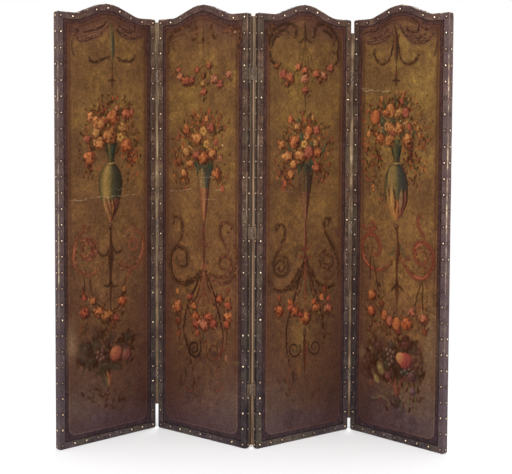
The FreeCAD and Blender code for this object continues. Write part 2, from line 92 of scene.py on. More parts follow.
def place(leaf, across, depth, up):
    """Points of the room, from the leaf's own across, depth and up, as arrays of one shape."""
    along, into = directions(leaf)
    across, depth, up = np.broadcast_arrays(across, depth, up)
    height = up[..., None] * np.array([0, 0, 1.0])
    return corner(leaf) + across[..., None] * along + depth[..., None] * into + height


for leaf in TURNS:
    print("leaf", leaf, "foot at", np.round(corner(leaf), 4))

# %% [markdown]
# ## The arched top
# The top edge is flat at both shoulders, dips in a hollow arc, climbs a short slope and goes over
# the crown. An edge that runs a set inset inside it keeps the same centres: the hollow's radius
# grows by the inset and the crown's shrinks, so one formula gives every line round the leaf.

# %% The arch and the lines inside it
HOLLOW_RADIUS, CROWN_RADIUS, ARCH_SLOPE = 94.95 * MM, 171.75 * MM, math.radians(21.49)
HALF_SPAN = LEAF_WIDTH / 2 - SHOULDER_FLAT


def arch(across, inset=0.0):
    """Height of the line that runs inset inside the top edge: a circle over the crown, a circle
    under the hollow, the slope's straight line between them and level shoulders."""
    out = np.abs(np.asarray(across, float) - LEAF_WIDTH / 2)
    sine, cosine = math.sin(ARCH_SLOPE), math.cos(ARCH_SLOPE)
    crown, hollow = CROWN_RADIUS - inset, HOLLOW_RADIUS + inset
    crown_centre = SIDE_HEIGHT + CROWN_RISE - CROWN_RADIUS
    hollow_centre = SIDE_HEIGHT + HOLLOW_RADIUS
    over = crown_centre + np.sqrt(np.maximum(crown ** 2 - out ** 2, 0))
    under = hollow_centre - np.sqrt(np.maximum(hollow ** 2 - (HALF_SPAN - out) ** 2, 0))
    slope = crown_centre + crown * cosine - (out - crown * sine) * sine / cosine
    height = np.where(out < crown * sine, over, np.where(out < HALF_SPAN - hollow * sine, slope, under))
    return np.where(out < HALF_SPAN, height, SIDE_HEIGHT - inset)


print("arch: crown", round(float(arch(LEAF_WIDTH / 2)), 4), "shoulder", float(arch(0.0)))

# %% [markdown]
# ## The camera
# The camera stands where the photographer stood, a little above the middle of the screen and far
# enough away that the uprights look parallel. Pixels of the 512 by 474 frame are used further on to
# say where each painted spray sits, so the same numbers also send a pixel back on to a leaf.

# %% Camera
FRAME_WIDTH, FRAME_HEIGHT = 512, 474
FOCAL_PIXELS, FRAME_SHIFT = 1076.35, -0.10
EYE = np.array([0.09285, -4.49273, 1.3320])
YAW, PITCH, ROLL = (math.radians(angle) for angle in (1.027, 3.265, 0.282))

SENSOR_WIDTH, FAR_END = 36, 100
FORWARD = np.array([-math.cos(PITCH) * math.sin(YAW), math.cos(PITCH) * math.cos(YAW), -math.sin(PITCH)])
LEVEL = np.array([math.cos(YAW), math.sin(YAW), 0])
RAISED = np.array([-math.sin(PITCH) * math.sin(YAW), math.sin(PITCH) * math.cos(YAW), math.cos(PITCH)])
RIGHT = math.cos(ROLL) * LEVEL + math.sin(ROLL) * RAISED
UP = -math.sin(ROLL) * LEVEL + math.cos(ROLL) * RAISED
CENTRE_X, CENTRE_Y = FRAME_WIDTH / 2, FRAME_HEIGHT / 2 + FRAME_SHIFT * FRAME_WIDTH

camera_data = bpy.data.cameras.new("camera")
camera_data.sensor_width, camera_data.clip_end = SENSOR_WIDTH, FAR_END
camera_data.lens = FOCAL_PIXELS * SENSOR_WIDTH / FRAME_WIDTH
camera_data.shift_y = FRAME_SHIFT
camera = bpy.data.objects.new("camera", camera_data)
bpy.context.scene.collection.objects.link(camera)
turned = np.eye(4)
turned[:3, 0], turned[:3, 1], turned[:3, 2], turned[:3, 3] = RIGHT, UP, -FORWARD, EYE
camera.matrix_world = Matrix(turned.tolist())
bpy.context.scene.camera = camera


def spot(leaf, x, y):
    """Where the sight line through a pixel meets the leaf's front: the ray's own step is the depth
    of the leaf before the eye over the ray's speed into the leaf."""
    along, into = directions(leaf)
    x, y = np.broadcast_arrays(np.asarray(x, float), np.asarray(y, float))
    ray = FORWARD + ((x - CENTRE_X)[..., None] * RIGHT + (CENTRE_Y - y)[..., None] * UP) / FOCAL_PIXELS
    step = ((corner(leaf) - EYE) @ into) / (ray @ into)
    found = EYE + step[..., None] * ray - corner(leaf)
    return found @ along, found[..., 2]


print("lens", round(camera_data.lens, 2), "mm; middle of leaf 1 at",
      [round(float(v), 3) for v in spot(1, 111, 200)])

# %% [markdown]
# ## From arrays to meshes
# Every soft piece is worked out as whole arrays of points, so one helper turns points and faces
# into an object, with its attributes and its own flat map. The object stays at the origin and its
# place is in its mesh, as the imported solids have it.

# %% Mesh helpers
def strip_faces(count_up, count_across, around=False, ring=False, first=0):
    """The four-cornered faces of a grid whose points run across and then up; around closes its
    last column on its first, and ring its last row on its first."""
    mark = first + np.arange(count_up * count_across).reshape(count_up, count_across)
    if around:
        mark = np.concatenate([mark, mark[:, :1]], axis=1)
    if ring:
        mark = np.concatenate([mark, mark[:1]])
    return np.stack([mark[:-1, :-1], mark[:-1, 1:], mark[1:, 1:], mark[1:, :-1]], axis=-1).reshape(-1, 4)


def outward_faces(points, faces):
    """The faces of a closed shape, turned over if they look inwards: the sum of each triangle's
    corner products is six times the volume, and is below nothing when they do."""
    p, f = np.asarray(points, float).reshape(-1, 3), np.asarray(faces)
    middle = p.mean(axis=0)
    a, b, c, d = (p[f[:, k]] - middle for k in range(4))
    volume = (np.cross(a, b) * c).sum() + (np.cross(a, c) * d).sum()
    return f if volume > 0 else f[:, ::-1]


def make_piece(name, points, faces, finish, smooth=True, flat=None, **shades):
    """A mesh object at the origin. flat is the place of each point on its own flat map, and shades
    are numbers or colours that each point carries to its material."""
    mesh = bpy.data.meshes.new(name)
    mesh.from_pydata(np.asarray(points, float).reshape(-1, 3).tolist(), [], faces)
    mesh.polygons.foreach_set("use_smooth", np.full(len(mesh.polygons), smooth))
    corners = np.zeros(len(mesh.loops), dtype=np.int32)
    mesh.loops.foreach_get("vertex_index", corners)
    if flat is not None:
        places = np.asarray(flat, float).reshape(-1, 2)[corners]
        mesh.uv_layers.new(name="flat").data.foreach_set("uv", places.ravel())
    for shade, values in shades.items():
        values = np.asarray(values, np.float32)
        if values.shape[-1] == 3 and values.ndim > 1 and values.size == 3 * len(mesh.vertices):
            rgba = np.concatenate([values.reshape(-1, 3), np.ones((len(mesh.vertices), 1), np.float32)], axis=1)
            layer = mesh.color_attributes.new(name=shade, type="FLOAT_COLOR", domain="POINT")
            layer.data.foreach_set("color", rgba.ravel())
        else:
            mesh.attributes.new(shade, "FLOAT", "POINT").data.foreach_set("value", values.ravel())
    mesh.validate()
    piece = bpy.data.objects.new(name, mesh)
    bpy.context.scene.collection.objects.link(piece)
    piece.data.materials.append(finish)
    return piece


def as_light(colour):
    """A colour as it is seen, from 0 to 255, turned into the light that a shader works with."""
    seen = np.asarray(colour, float) / 255
    return np.where(seen <= 0.04045, seen / 12.92, ((seen + 0.055) / 1.055) ** 2.4)


# %% [markdown]
# ## Shader maths as plain sums
# A finish is easier to read as sums than as wires. One small class stands for a value on its way
# through a material, and its operators add the nodes that do the sum.

# %% Finishes from expressions
class Flow:
    """A number or colour inside a finish. Sums on numbers become Math nodes."""

    def __init__(self, finish, socket):
        self.finish, self.socket = finish, socket

    def sum(self, operation, first, second):
        return self.finish.node("ShaderNodeMath", {"operation": operation}, {0: first, 1: second})

    def __add__(self, other): return self.sum("ADD", self, other)
    def __radd__(self, other): return self.sum("ADD", other, self)
    def __sub__(self, other): return self.sum("SUBTRACT", self, other)
    def __rsub__(self, other): return self.sum("SUBTRACT", other, self)
    def __mul__(self, other): return self.sum("MULTIPLY", self, other)
    def __rmul__(self, other): return self.sum("MULTIPLY", other, self)

    def between(self, low, high):
        """0 below low, 1 above high, and a smooth rise in between."""
        values = {"Value": self, "From Min": low, "From Max": high}
        return self.finish.node("ShaderNodeMapRange", {"interpolation_type": "SMOOTHSTEP"}, values)


class Finish:
    """A material under construction around one Principled shader."""

    def __init__(self, name, **fixed):
        self.material = bpy.data.materials.new(name)
        self.material.use_nodes = True
        self.nodes = self.material.node_tree.nodes
        self.links = self.material.node_tree.links
        self.shader = self.nodes["Principled BSDF"]
        for socket, value in fixed.items():
            self.shader.inputs[socket.replace("_", " ")].default_value = value

    def node(self, kind, settings=None, values=None, out=0):
        """Any node: its settings first, then the values or flows of its sockets."""
        made = self.nodes.new(kind)
        for setting, value in (settings or {}).items():
            if setting == "stops":
                ramp = made.color_ramp.elements
                while len(ramp) < len(value):
                    ramp.new(0.5)
                for stop, (at, colour) in zip(ramp, value):
                    stop.position, stop.color = at, (*as_light(colour), 1)
            else:
                setattr(made, setting, value)
        for socket, value in (values or {}).items():
            if isinstance(value, Flow):
                self.links.new(value.socket, made.inputs[socket])
            else:
                made.inputs[socket].default_value = value
        return Flow(self, made.outputs[out])

    def object_place(self, stretch=None):
        """The place on the object, stretched along the given factors."""
        here = self.node("ShaderNodeTexCoord", out="Object")
        return self.node("ShaderNodeMapping", None, {"Vector": here, "Scale": stretch}) if stretch else here

    def height_up(self):
        """Height above the floor in metres."""
        return self.node("ShaderNodeSeparateXYZ", None, {0: self.object_place()}, out="Z")

    def carried(self, shade, out="Fac"):
        """What the mesh's points carry under a name."""
        return self.node("ShaderNodeAttribute", {"attribute_name": shade}, out=out)

    def cloud(self, scale, detail=4.0, rough=0.55, stretch=None):
        """Noise from 0 to 1 at so many lumps a metre."""
        values = {"Vector": self.object_place(stretch), "Scale": scale, "Detail": detail, "Roughness": rough}
        return self.node("ShaderNodeTexNoise", None, values)

    def cracks(self, scale, wide, stretch=None):
        """The edges of a net of cells, as lines that fade from 1 to 0 over a width."""
        values = {"Vector": self.object_place(stretch), "Scale": scale}
        return 1 - self.node("ShaderNodeTexVoronoi", {"feature": "DISTANCE_TO_EDGE"}, values).between(0.0, wide)

    def tint(self, share, under, over, blend="MIX"):
        """over laid on under by a share, where colours are written as they are seen."""
        under, over = (c if isinstance(c, Flow) else (*as_light(c), 1) for c in (under, over))
        values = {0: share, 6: under, 7: over}
        return self.node("ShaderNodeMix", {"data_type": "RGBA", "blend_type": blend}, values, out=2)

    def ramp(self, value, *stops):
        """A number turned into a colour by stops of place and colour."""
        return self.node("ShaderNodeValToRGB", {"stops": stops}, {"Fac": value}, out="Color")

    def done(self, colour, roughness=None, metallic=None, height=None, depth=None):
        """Joins what varies to the shader; height goes through one Bump node."""
        for socket, value in (("Base Color", colour), ("Roughness", roughness), ("Metallic", metallic)):
            if value is not None:
                self.links.new(value.socket, self.shader.inputs[socket])
        if height is not None:
            bump = self.node("ShaderNodeBump", None, {"Height": height, "Distance": depth, "Strength": 1.0},
                             out="Normal")
            self.links.new(bump.socket, self.shader.inputs["Normal"])
        return self.material


# %% [markdown]
# ## Leather, painted and plain
# The leaves' leather was painted in oils and varnished, and is now crazed and rubbed. The picture
# itself comes with the mesh, point by point; the finish adds what is finer than its points: the
# grain, a net of fine cracks with dirt in them, a mottled varnish and a shine that varies.

# %% Finish: painted leather
def painted_leather():
    """The picture, mottled and crazed, with shine where the varnish is whole and a raised ground of paint."""
    f = Finish("painted_leather", IOR=1.46, Specular_IOR_Level=0.05)
    picture = f.carried("picture", "Color")
    mottle = f.cloud(9, 6, 0.62)
    fine = f.cloud(130, 5, 0.65)
    crazing = f.cracks(150, 0.055, (1, 1, 0.55))
    crazed = crazing * f.cloud(5, 3).between(0.45, 0.66)
    tone = f.tint(0.75, picture, f.ramp(mottle * 0.3 + fine * 0.7, (0.36, (170, 158, 150)),
                                        (0.58, (255, 255, 254))), "MULTIPLY")
    tone = f.tint(crazed * 0.4, tone, (38, 26, 22))
    dust = f.cloud(420, 2, 0.5).between(0.66, 0.8) * f.cloud(14, 3).between(0.5, 0.7)
    tone = f.tint(dust * 0.22, tone, (176, 142, 106))
    height = f.carried("relief") + fine * 0.5 + f.cloud(700, 2) * 0.22 - crazed * 0.4
    return f.done(tone, 0.46 + mottle * 0.16 + crazing * 0.12, height=height, depth=0.6 * MM)


# %% [markdown]
# The edge bands are thinner leather, dyed purple-brown. They are rubbed pale along the folded
# corners, dark with dirt round every nail, and greyer near the floor.

# %% Finish: band leather
def band_leather():
    """Dyed leather, rubbed bare along its edges, dark round the nails and at the feet, and plum-coloured
    on the outer sides."""
    f = Finish("band_leather", IOR=1.46, Specular_IOR_Level=0.16)
    up = f.height_up()
    mottle, fine = f.cloud(16, 6, 0.62), f.cloud(140, 4, 0.6)
    streak = f.cloud(30, 5, 0.7, stretch=(1, 1, 0.12))
    rubbed = mottle * 0.45 + f.cloud(190, 5, 0.7, stretch=(1, 1, 0.35)) * 0.55
    dyed = f.ramp(rubbed, (0.34, (36, 23, 17)), (0.5, (72, 49, 37)), (0.64, (120, 93, 71)))
    low = f.ramp(rubbed, (0.34, (24, 19, 22)), (0.5, (47, 37, 40)), (0.64, (82, 69, 70)))
    tone = f.tint(1 - up.between(0.1, 1.25), dyed, low)
    tone = f.tint(f.cloud(7, 3).between(0.48, 0.6) * 0.4, tone, (76, 68, 52))
    tone = f.tint(up.between(1.72, 1.8) * 0.7, tone, (54, 33, 37))
    tone = f.tint(f.carried("plum") * 0.5, tone, (84, 66, 71))
    # Painted shade on the darker sides, and on the side faces that meet in the middle fold.
    tone = f.tint(f.carried("shade"), tone, (4, 2, 1))
    worn = (f.carried("edge") * (0.5 + up.between(0.2, 1.2)) * streak.between(0.35, 0.7)).between(0.15, 0.95)
    worn = worn * f.cloud(55, 4, 0.65, stretch=(1, 1, 0.4)).between(0.36, 0.5)
    tone = f.tint(worn * 0.9, tone, f.ramp(f.cloud(60, 3), (0.35, (120, 98, 76)), (0.65, (196, 174, 144))))
    scuffs = f.cloud(240, 4, 0.65, stretch=(1, 1, 0.6)).between(0.56, 0.7) * f.cloud(20, 3).between(0.45, 0.62)
    tone = f.tint(scuffs * 0.6, tone, (168, 146, 122))
    # Grime round the nails, and painted shade on the cut edges of the lips.
    tone = f.tint(f.carried("dirt") * 0.8, tone, (24, 16, 14))
    tone = f.tint(f.carried("crest") * streak.between(0.25, 0.45), tone, (232, 205, 172))
    creases = f.cracks(90, 0.08, (1, 1, 1.6))
    tone = f.tint(creases * 0.35, tone, (38, 26, 24))
    height = fine * 0.7 + streak * 0.3 - creases * 0.5 + f.cloud(500, 2) * 0.2
    return f.done(tone, 0.42 + mottle * 0.15 + worn * 0.12, height=height, depth=0.7 * MM)


# %% [markdown]
# The backs were never painted: plain tanned leather, darkened by handling and stained in broad
# drifts. The strips over the folds are the same leather again, rubbed almost bare.

# %% Finishes: back leather and fold strips
def back_leather():
    """Plain brown leather with broad stains and a fine net of cracks."""
    f = Finish("back_leather", IOR=1.46, Specular_IOR_Level=0.15)
    drift, fine = f.cloud(4, 6, 0.6), f.cloud(120, 5, 0.6)
    tone = f.ramp(drift * 0.8 + fine * 0.2, (0.3, (56, 38, 29)), (0.5, (84, 57, 41)), (0.72, (112, 80, 57)))
    net = f.cracks(210, 0.07)
    tone = f.tint(net * 0.4, tone, (40, 27, 21))
    tone = f.tint(f.cloud(2.2, 3).between(0.55, 0.7) * 0.4, tone, (52, 36, 30))
    return f.done(tone, 0.5 + drift * 0.16, height=fine * 0.6 - net * 0.5 + f.carried("relief"), depth=0.6 * MM)


def strip_leather():
    """Leather that rubs pale where it bends and darkens towards the floor."""
    f = Finish("strip_leather", IOR=1.46, Specular_IOR_Level=0.15)
    streak = f.cloud(40, 6, 0.7, stretch=(1, 1, 0.08))
    blotch, fine = f.cloud(14, 4), f.cloud(160, 4)
    tone = f.ramp(streak * 0.6 + blotch * 0.4, (0.3, (36, 26, 19)), (0.45, (76, 59, 43)), (0.56, (122, 101, 76)),
                  (0.7, (200, 179, 146)))
    tone = f.tint((1 - f.height_up().between(0.1, 1.1)) * 0.6, tone, (62, 46, 38))
    # Painted shade in the gap between the leaves: most on the tails and the inner face, a little on the outer face.
    tone = f.tint(f.carried("dirt") * 0.85, tone, (36, 22, 15))
    tone = f.tint(f.carried("crest") * streak.between(0.3, 0.6), tone, (146, 116, 90))
    return f.done(tone, 0.5 + blotch * 0.14, height=streak * 0.8 + fine * 0.4, depth=0.7 * MM)


# %% [markdown]
# ## Metal and wood
# The nails are brass gone brown, with the crowns rubbed bright by hands and cloths. The hinges were
# painted over with the leather's brown, which hides them in the folds, and so were their screws.

# %% Finishes: nails, hinges, screws and stretchers
def nail_brass():
    """Each head has its own tone; tarnish gathers at its rim and leaves the crown bright."""
    f = Finish("nail_brass")
    tone, crown = f.carried("tone"), f.carried("crown")
    speck = f.cloud(900, 3, 0.6)
    metal = f.ramp(tone, (0.0, (84, 62, 52)), (0.5, (158, 130, 110)), (1.0, (226, 202, 170)))
    tarnish = ((1 - crown).between(0.05, 0.7) * 0.8 + speck * 0.3).between(0.1, 0.9)
    colour = f.tint(tarnish, metal, (44, 30, 26))
    return f.done(colour, 0.28 + tarnish * 0.36, 1 - tarnish * 0.55, height=speck, depth=0.2 * MM)


def aged_metal(name, dark, mid, bright, roughness, bare):
    """Metal under a patina of three tones, barer where it is bright."""
    f = Finish(name)
    patina, speck = f.cloud(60, 5, 0.62), f.cloud(700, 3)
    tone = f.ramp(patina, (0.3, dark), (0.52, mid), (0.75, bright))
    metal = bare + patina.between(0.55, 0.75) * 0.3
    return f.done(tone, roughness + patina * 0.25, metal, height=patina + speck * 0.5, depth=0.2 * MM)


def stretcher_wood():
    """Long grain and fine pores along the height."""
    f = Finish("stretcher_wood", IOR=1.45, Specular_IOR_Level=0.35)
    grain = f.cloud(26, 6, 0.6, stretch=(1, 1, 0.06))
    pores = f.cloud(420, 3, 0.6, stretch=(1, 1, 0.05))
    tone = f.ramp(grain, (0.3, (92, 64, 42)), (0.5, (132, 98, 66)), (0.72, (160, 124, 88)))
    tone = f.tint(pores.between(0.55, 0.72) * 0.5, tone, (64, 43, 29))
    return f.done(tone, 0.62 + grain * 0.15, height=grain + pores * 0.4, depth=0.4 * MM)


FINISHES = {
    "painted_leather": painted_leather(),
    "band_leather": band_leather(),
    "back_leather": back_leather(),
    "strip_leather": strip_leather(),
    "nail_brass": nail_brass(),
    "hinge_brass": aged_metal("hinge_brass", (46, 33, 25), (84, 65, 47), (120, 98, 72), 0.55, 0.15),
    "screw_steel": aged_metal("screw_steel", (44, 36, 30), (72, 60, 48), (104, 90, 74), 0.5, 0.4),
    "stretcher_wood": stretcher_wood(),
}
print("finishes:", ", ".join(sorted(FINISHES)))

# %% [markdown]
# ## A skin to paint on
# A leaf's picture is painted by brush strokes worked out on the mesh's own points. Each point knows
# its place on the leaf, and each stroke mixes its colour into the points that it covers. The grid is
# a little finer than a pixel of the closest picture, and keeps each skin under 200,000 triangles.

# %% The skin and its ground colours
SKIN_INSET, COUNT_ACROSS, COUNT_UP = 21 * MM, 152, 636
PIXEL = 4.25 * MM
BEND_SHARE = 0.8
LATTICE = (97, 89)


def soft_step(value, low, high):
    """0 below low, 1 above high, and the smooth cubic between them."""
    share = np.clip((value - low) / (high - low), 0, 1)
    return share * share * (3 - 2 * share)


def drifts(across, up, size, seed, stretch=1.0):
    """Soft random patches from 0 to 1: a grid of random numbers, size apart, blended smoothly
    between its corners, with a second grid half as coarse added at a third of the weight."""
    rng, total = np.random.default_rng(seed), 0
    for layer, weight in ((1.0, 0.6), (0.5, 0.27), (0.25, 0.13)):
        x, y = across / (size * layer) + 50, up / (size * layer * stretch) + 50
        numbers = rng.random(LATTICE)
        i, j = np.floor(x).astype(int), np.floor(y).astype(int)
        p, q = x - i, y - j
        p, q = p * p * (3 - 2 * p), q * q * (3 - 2 * q)
        pick = lambda a, b: numbers[(i + a) % LATTICE[0], (j + b) % LATTICE[1]]
        row = lambda b: pick(0, b) * (1 - p) + pick(1, b) * p
        total = total + weight * (row(0) * (1 - q) + row(1) * q)
    return total


def leaf_grid(count_up, count_across):
    """Places across and up inside the nailed bands: level rows at first, that bend up to the arch
    by the square of the share of the way above the bend."""
    share_up, share_across = np.meshgrid(np.linspace(0, 1, count_up), np.linspace(0, 1, count_across),
                                         indexing="ij")
    across = SKIN_INSET + share_across * (LEAF_WIDTH - 2 * SKIN_INSET)
    level = SIDE_HEIGHT - SKIN_INSET
    lift = np.maximum((share_up - BEND_SHARE) / (1 - BEND_SHARE), 0) ** 2
    return across, SKIN_INSET + share_up * (level - SKIN_INSET) + lift * (arch(across, SKIN_INSET) - level)


class Skin:
    """The painted front of one leaf: places across and up, a picture and the paint's relief."""

    def __init__(self, leaf):
        self.leaf = leaf
        self.across, self.up = leaf_grid(COUNT_UP, COUNT_ACROSS)
        self.lowest, self.highest = self.up.min(axis=1), self.up.max(axis=1)
        self.picture = np.zeros((COUNT_UP, COUNT_ACROSS, 3))
        self.relief = np.zeros((COUNT_UP, COUNT_ACROSS))
        speckle = np.random.default_rng(40 + leaf).random(self.across.shape)
        self.grain = 0.6 * drifts(self.across, self.up, 11 * MM, 90 + leaf) + 0.4 * speckle

    def window(self, low_across, high_across, low_up, high_up):
        """The rows and columns that can hold a patch between these bounds."""
        rows = slice(int(np.searchsorted(self.highest, low_up)), int(np.searchsorted(self.lowest, high_up)) + 1)
        start, end = np.searchsorted(self.across[0], (low_across, high_across))
        return rows, slice(int(start), int(end) + 1)

    def lay(self, cells, cover, colour, thick=0.0, dry=0.35):
        """Mixes a colour in by cover, less where the grain lets the brush skip."""
        cover = cover * (1 - dry * (1 - soft_step(self.grain[cells], 0.2, 0.6)))
        self.picture[cells] += cover[..., None] * (np.asarray(colour, float) - self.picture[cells])
        self.relief[cells] += thick * cover


def shade_between(stops, value):
    """Colours read off a list of (value, colour) stops by straight lines between them."""
    at = [stop[0] for stop in stops]
    return np.stack([np.interp(value, at, [stop[1][k] for stop in stops]) for k in range(3)], axis=-1)


# %% [markdown]
# The ground is a thin olive-gold glaze, browner towards the foot. A dark red-brown line runs round
# it some 46 mm in, and outside that line the leather is dark plum under the nailed bands.

# %% Laying the ground
# The glaze's colour at heights in metres, then each leaf's own tint of it and how much brighter its
# right side is painted, at the foot and at the top, as painted light from one side, and the side on
# which its foot is painted paler as if lit, with painted shade on the other side.
GROUND = [(0.085, (80, 66, 80)), (0.16, (92, 69, 62)), (0.30, (93, 62, 41)), (0.50, (118, 80, 45)),
          (0.80, (142, 102, 51)), (1.0, (156, 116, 54)), (1.45, (165, 129, 56)), (1.78, (152, 115, 56))]
GLAZE = {1: ((1.04, 1.08, 1.1), (0.99, 0.99, 1.01)), 2: ((1.16, 1.18, 1.1), (1.04, 1.05, 1.05)),
         3: ((0.97, 1.0, 0.93), (0.97, 0.99, 0.92)), 4: ((1.35, 1.41, 1.3), (1.09, 1.13, 1.16))}
SIDE_LIGHT = {1: (-0.08, -0.02), 2: (0.1, 0.13), 3: (-0.16, 0.02), 4: (0.2, 0.08)}
LIT_FOOT_SIDE = {1: -1, 2: 1, 3: -1, 4: 1}
GLOW = {1: 0.2, 2: 0.2, 3: 0, 4: 0.2}
LINE_INSET, LINE_WIDE, LINE_ROUND = 45.5 * MM, 3.2 * MM, 40 * MM
LINE_COLOUR = (44, 24, 20)


def inside(skin, inset, round_low, round_high=8 * MM):
    """Distance inside the outline that runs inset within the edge, less at its rounded corners:
    the corner's radius minus how far the point lies from the corner's own centre."""
    side = np.minimum(skin.across, LEAF_WIDTH - skin.across) - inset
    foot, head = skin.up - inset, (arch(skin.across, inset) - skin.up) * 0.95
    low = round_low - np.hypot(np.maximum(round_low - side, 0), np.maximum(round_low - foot, 0))
    high = round_high - np.hypot(np.maximum(round_high - side, 0), np.maximum(round_high - head, 0))
    return np.minimum.reduce([side, foot, head, low, high])


def lay_ground(skin):
    """The glaze by height, its drifts, painted light and shade from one side, the dark corners, the border with its
    lines and a painted shadow just inside the bands.
    """
    across, up, seed = skin.across, skin.up, 7 * skin.leaf
    drift, small = drifts(across, up, 90 * MM, seed), drifts(across, up, 22 * MM, seed + 1)
    brushed = drifts(across, up, 9 * MM, seed + 2, 1.3)
    low = 1 - soft_step(up, 0.7, 1.1)
    foot, top = (np.array(glaze) for glaze in GLAZE[skin.leaf])
    ground = shade_between(GROUND, up + (drift - 0.5) * 0.22) * (top + low[..., None] * (foot - top))
    middle = np.exp(-((across / LEAF_WIDTH - 0.5) / 0.26) ** 2)
    sideways, (low_lean, top_lean) = 2 * across / LEAF_WIDTH - 1, SIDE_LIGHT[skin.leaf]
    glow = GLOW[skin.leaf] * middle * np.exp(-((up - 1.42) / 0.2) ** 2)
    # Painted light: one side of the leaf is made brighter than the other, as if lit from that side.
    glow = glow + (top_lean + low * (low_lean - top_lean)) * sideways
    ground = ground * (1 + (0.12 * low * (middle - 0.35) + glow)[..., None] * np.array((0.9, 1.0, 0.7)))
    rough = 0.7 + 0.35 * low
    speckled = 0.45 * (small - 0.5) + 0.55 * (brushed - 0.5) + 0.45 * (skin.grain - 0.5)
    gleam = (0.4 + 0.4 * low) * (drift - 0.5) + rough * speckled
    green_gold = (0.5 * (small - 0.5) * rough)[..., None] * np.array((14, 16, -12))
    skin.picture[:] = ground * (1 + gleam)[..., None] + green_gold
    rise = inside(skin, LINE_INSET, LINE_ROUND)

    def wash(share, colour):
        skin.picture += np.clip(share, 0, 1)[..., None] * (np.array(colour) - skin.picture)

    wash(0.53 * (0.5 + drift), (70, 44, 32))
    side, head = np.minimum(across, LEAF_WIDTH - across) - LINE_INSET, arch(across, LINE_INSET) - up
    gap = np.minimum(np.minimum(side, head), up - LINE_INSET)
    wash((1 - soft_step(head, 5 * MM, 85 * MM)) * (0.25 + 0.6 * drift), (84, 53, 48))
    wash(low * (1 - soft_step(side, 5 * MM, 95 * MM)) * (0.1 + 0.4 * drift), (70, 45, 38))
    wash((1 - soft_step(gap, 9 * MM, 26 * MM)) * (0.68 - 0.34 * low), (70, 41, 28))
    # Painted light and shade at the foot: one side is washed paler as if lit, the other side darker.
    foot_share, pale = 1 - soft_step(up, 0.12, 0.42), LIT_FOOT_SIDE[skin.leaf] * sideways + (drift - 0.5)
    wash(foot_share * 0.5 * soft_step(pale, -0.1, 0.8), (108, 96, 86))
    wash(foot_share * 0.45 * soft_step(-pale, 0.0, 0.8), (60, 37, 28))
    wash((1 - soft_step(up, 0.04, 0.2)) * (0.05 + 0.7 * drift), (68, 52, 62))
    rim = shade_between([(0, (50, 38, 42)), (0.5, (56, 37, 34)), (1.8, (64, 41, 36))], up)
    rim = rim * (0.7 + 0.6 * brushed)[..., None]
    wash(1 - soft_step(rise, -1.5 * MM, 0.5 * MM), rim)
    wash(np.clip(1.2 - np.abs(rise + 0.5 * MM) / (LINE_WIDE / 2), 0, 1) * (0.6 + 0.35 * small), LINE_COLOUR)
    wash(np.clip(1.1 - np.abs(rise - 9 * MM) / (1.8 * MM), 0, 1) * (0.25 + 0.5 * drift), LINE_COLOUR)
    # Painted shadow: a dark strip just inside the bands' lips, where they stand proud of the skin.
    wash(0.8 * (1 - soft_step(inside(skin, 27 * MM, 6 * MM), 0, 7 * MM)), (34, 23, 22))
    skin.relief += 0.5 * np.clip(1 - np.abs(rise + 0.5 * MM) / LINE_WIDE, 0, 1)


# %% [markdown]
# ## The brushes
# Four brushes make the whole arabesque. A stroke follows a smooth line and thins at its ends, dabs
# are scattered leaves and buds, a bloom is built of turned petals round a heart, and a fruit is a
# shaded ball. Their places are read in the frame's pixels, as they were noted down.

# %% Strokes and dabs
def smooth_line(points, step=2 * MM):
    """Points along a smooth line: each span is the cubic that leaves and meets its ends with the
    slope of the chord between their neighbours."""
    points = np.asarray(points, float)
    run = np.concatenate([[0], np.cumsum(np.hypot(*np.diff(points, axis=0).T))])
    slope = np.gradient(points, run, axis=0)
    at = np.linspace(0, run[-1], max(int(run[-1] / step), 4) + 1)
    span = np.clip(np.searchsorted(run, at, side="right") - 1, 0, len(run) - 2)
    length = (run[span + 1] - run[span])[:, None]
    t = (at - run[span])[:, None] / length
    line = (2 * t ** 3 - 3 * t ** 2 + 1) * points[span] + (t ** 3 - 2 * t ** 2 + t) * length * slope[span]
    line = line + (3 * t ** 2 - 2 * t ** 3) * points[span + 1] + (t ** 3 - t ** 2) * length * slope[span + 1]
    return line, at / run[-1]


SHADOW_SHIFT, SHADOW_COLOUR, PART_LENGTH = 2 * MM, (44, 30, 22), 9


def cover_line(skin, line, half, soft, margin, shift=0.0):
    """The window round a line and how far each point of it is covered: 1 within half the width of
    the line there, 0 past it by the soft edge. The line is gone along in short parts, so that
    only the points near each part are measured."""
    low, high = line.min(axis=0) - margin, line.max(axis=0) + margin
    rows, columns = cells = skin.window(low[0], high[0], low[1], high[1])
    cover = np.zeros(skin.across[cells].shape)
    for start in range(0, len(line) - 1, PART_LENGTH):
        part, reach = line[start:start + PART_LENGTH + 1], half[start:start + PART_LENGTH + 1]
        low, high = part.min(axis=0) - margin, part.max(axis=0) + margin
        r, c = skin.window(low[0], high[0], low[1], high[1])
        x, y = skin.across[r, c][..., None] - shift, skin.up[r, c][..., None] + shift
        near = np.clip(0.5 - (np.hypot(x - part[:, 0], y - part[:, 1]) - reach).min(axis=-1) / soft, 0, 1)
        inner = (slice(r.start - rows.start, r.stop - rows.start),
                 slice(c.start - columns.start, c.stop - columns.start))
        held = cover[inner]
        cover[inner] = np.maximum(held, near[:held.shape[0], :held.shape[1]])
    return cells, cover


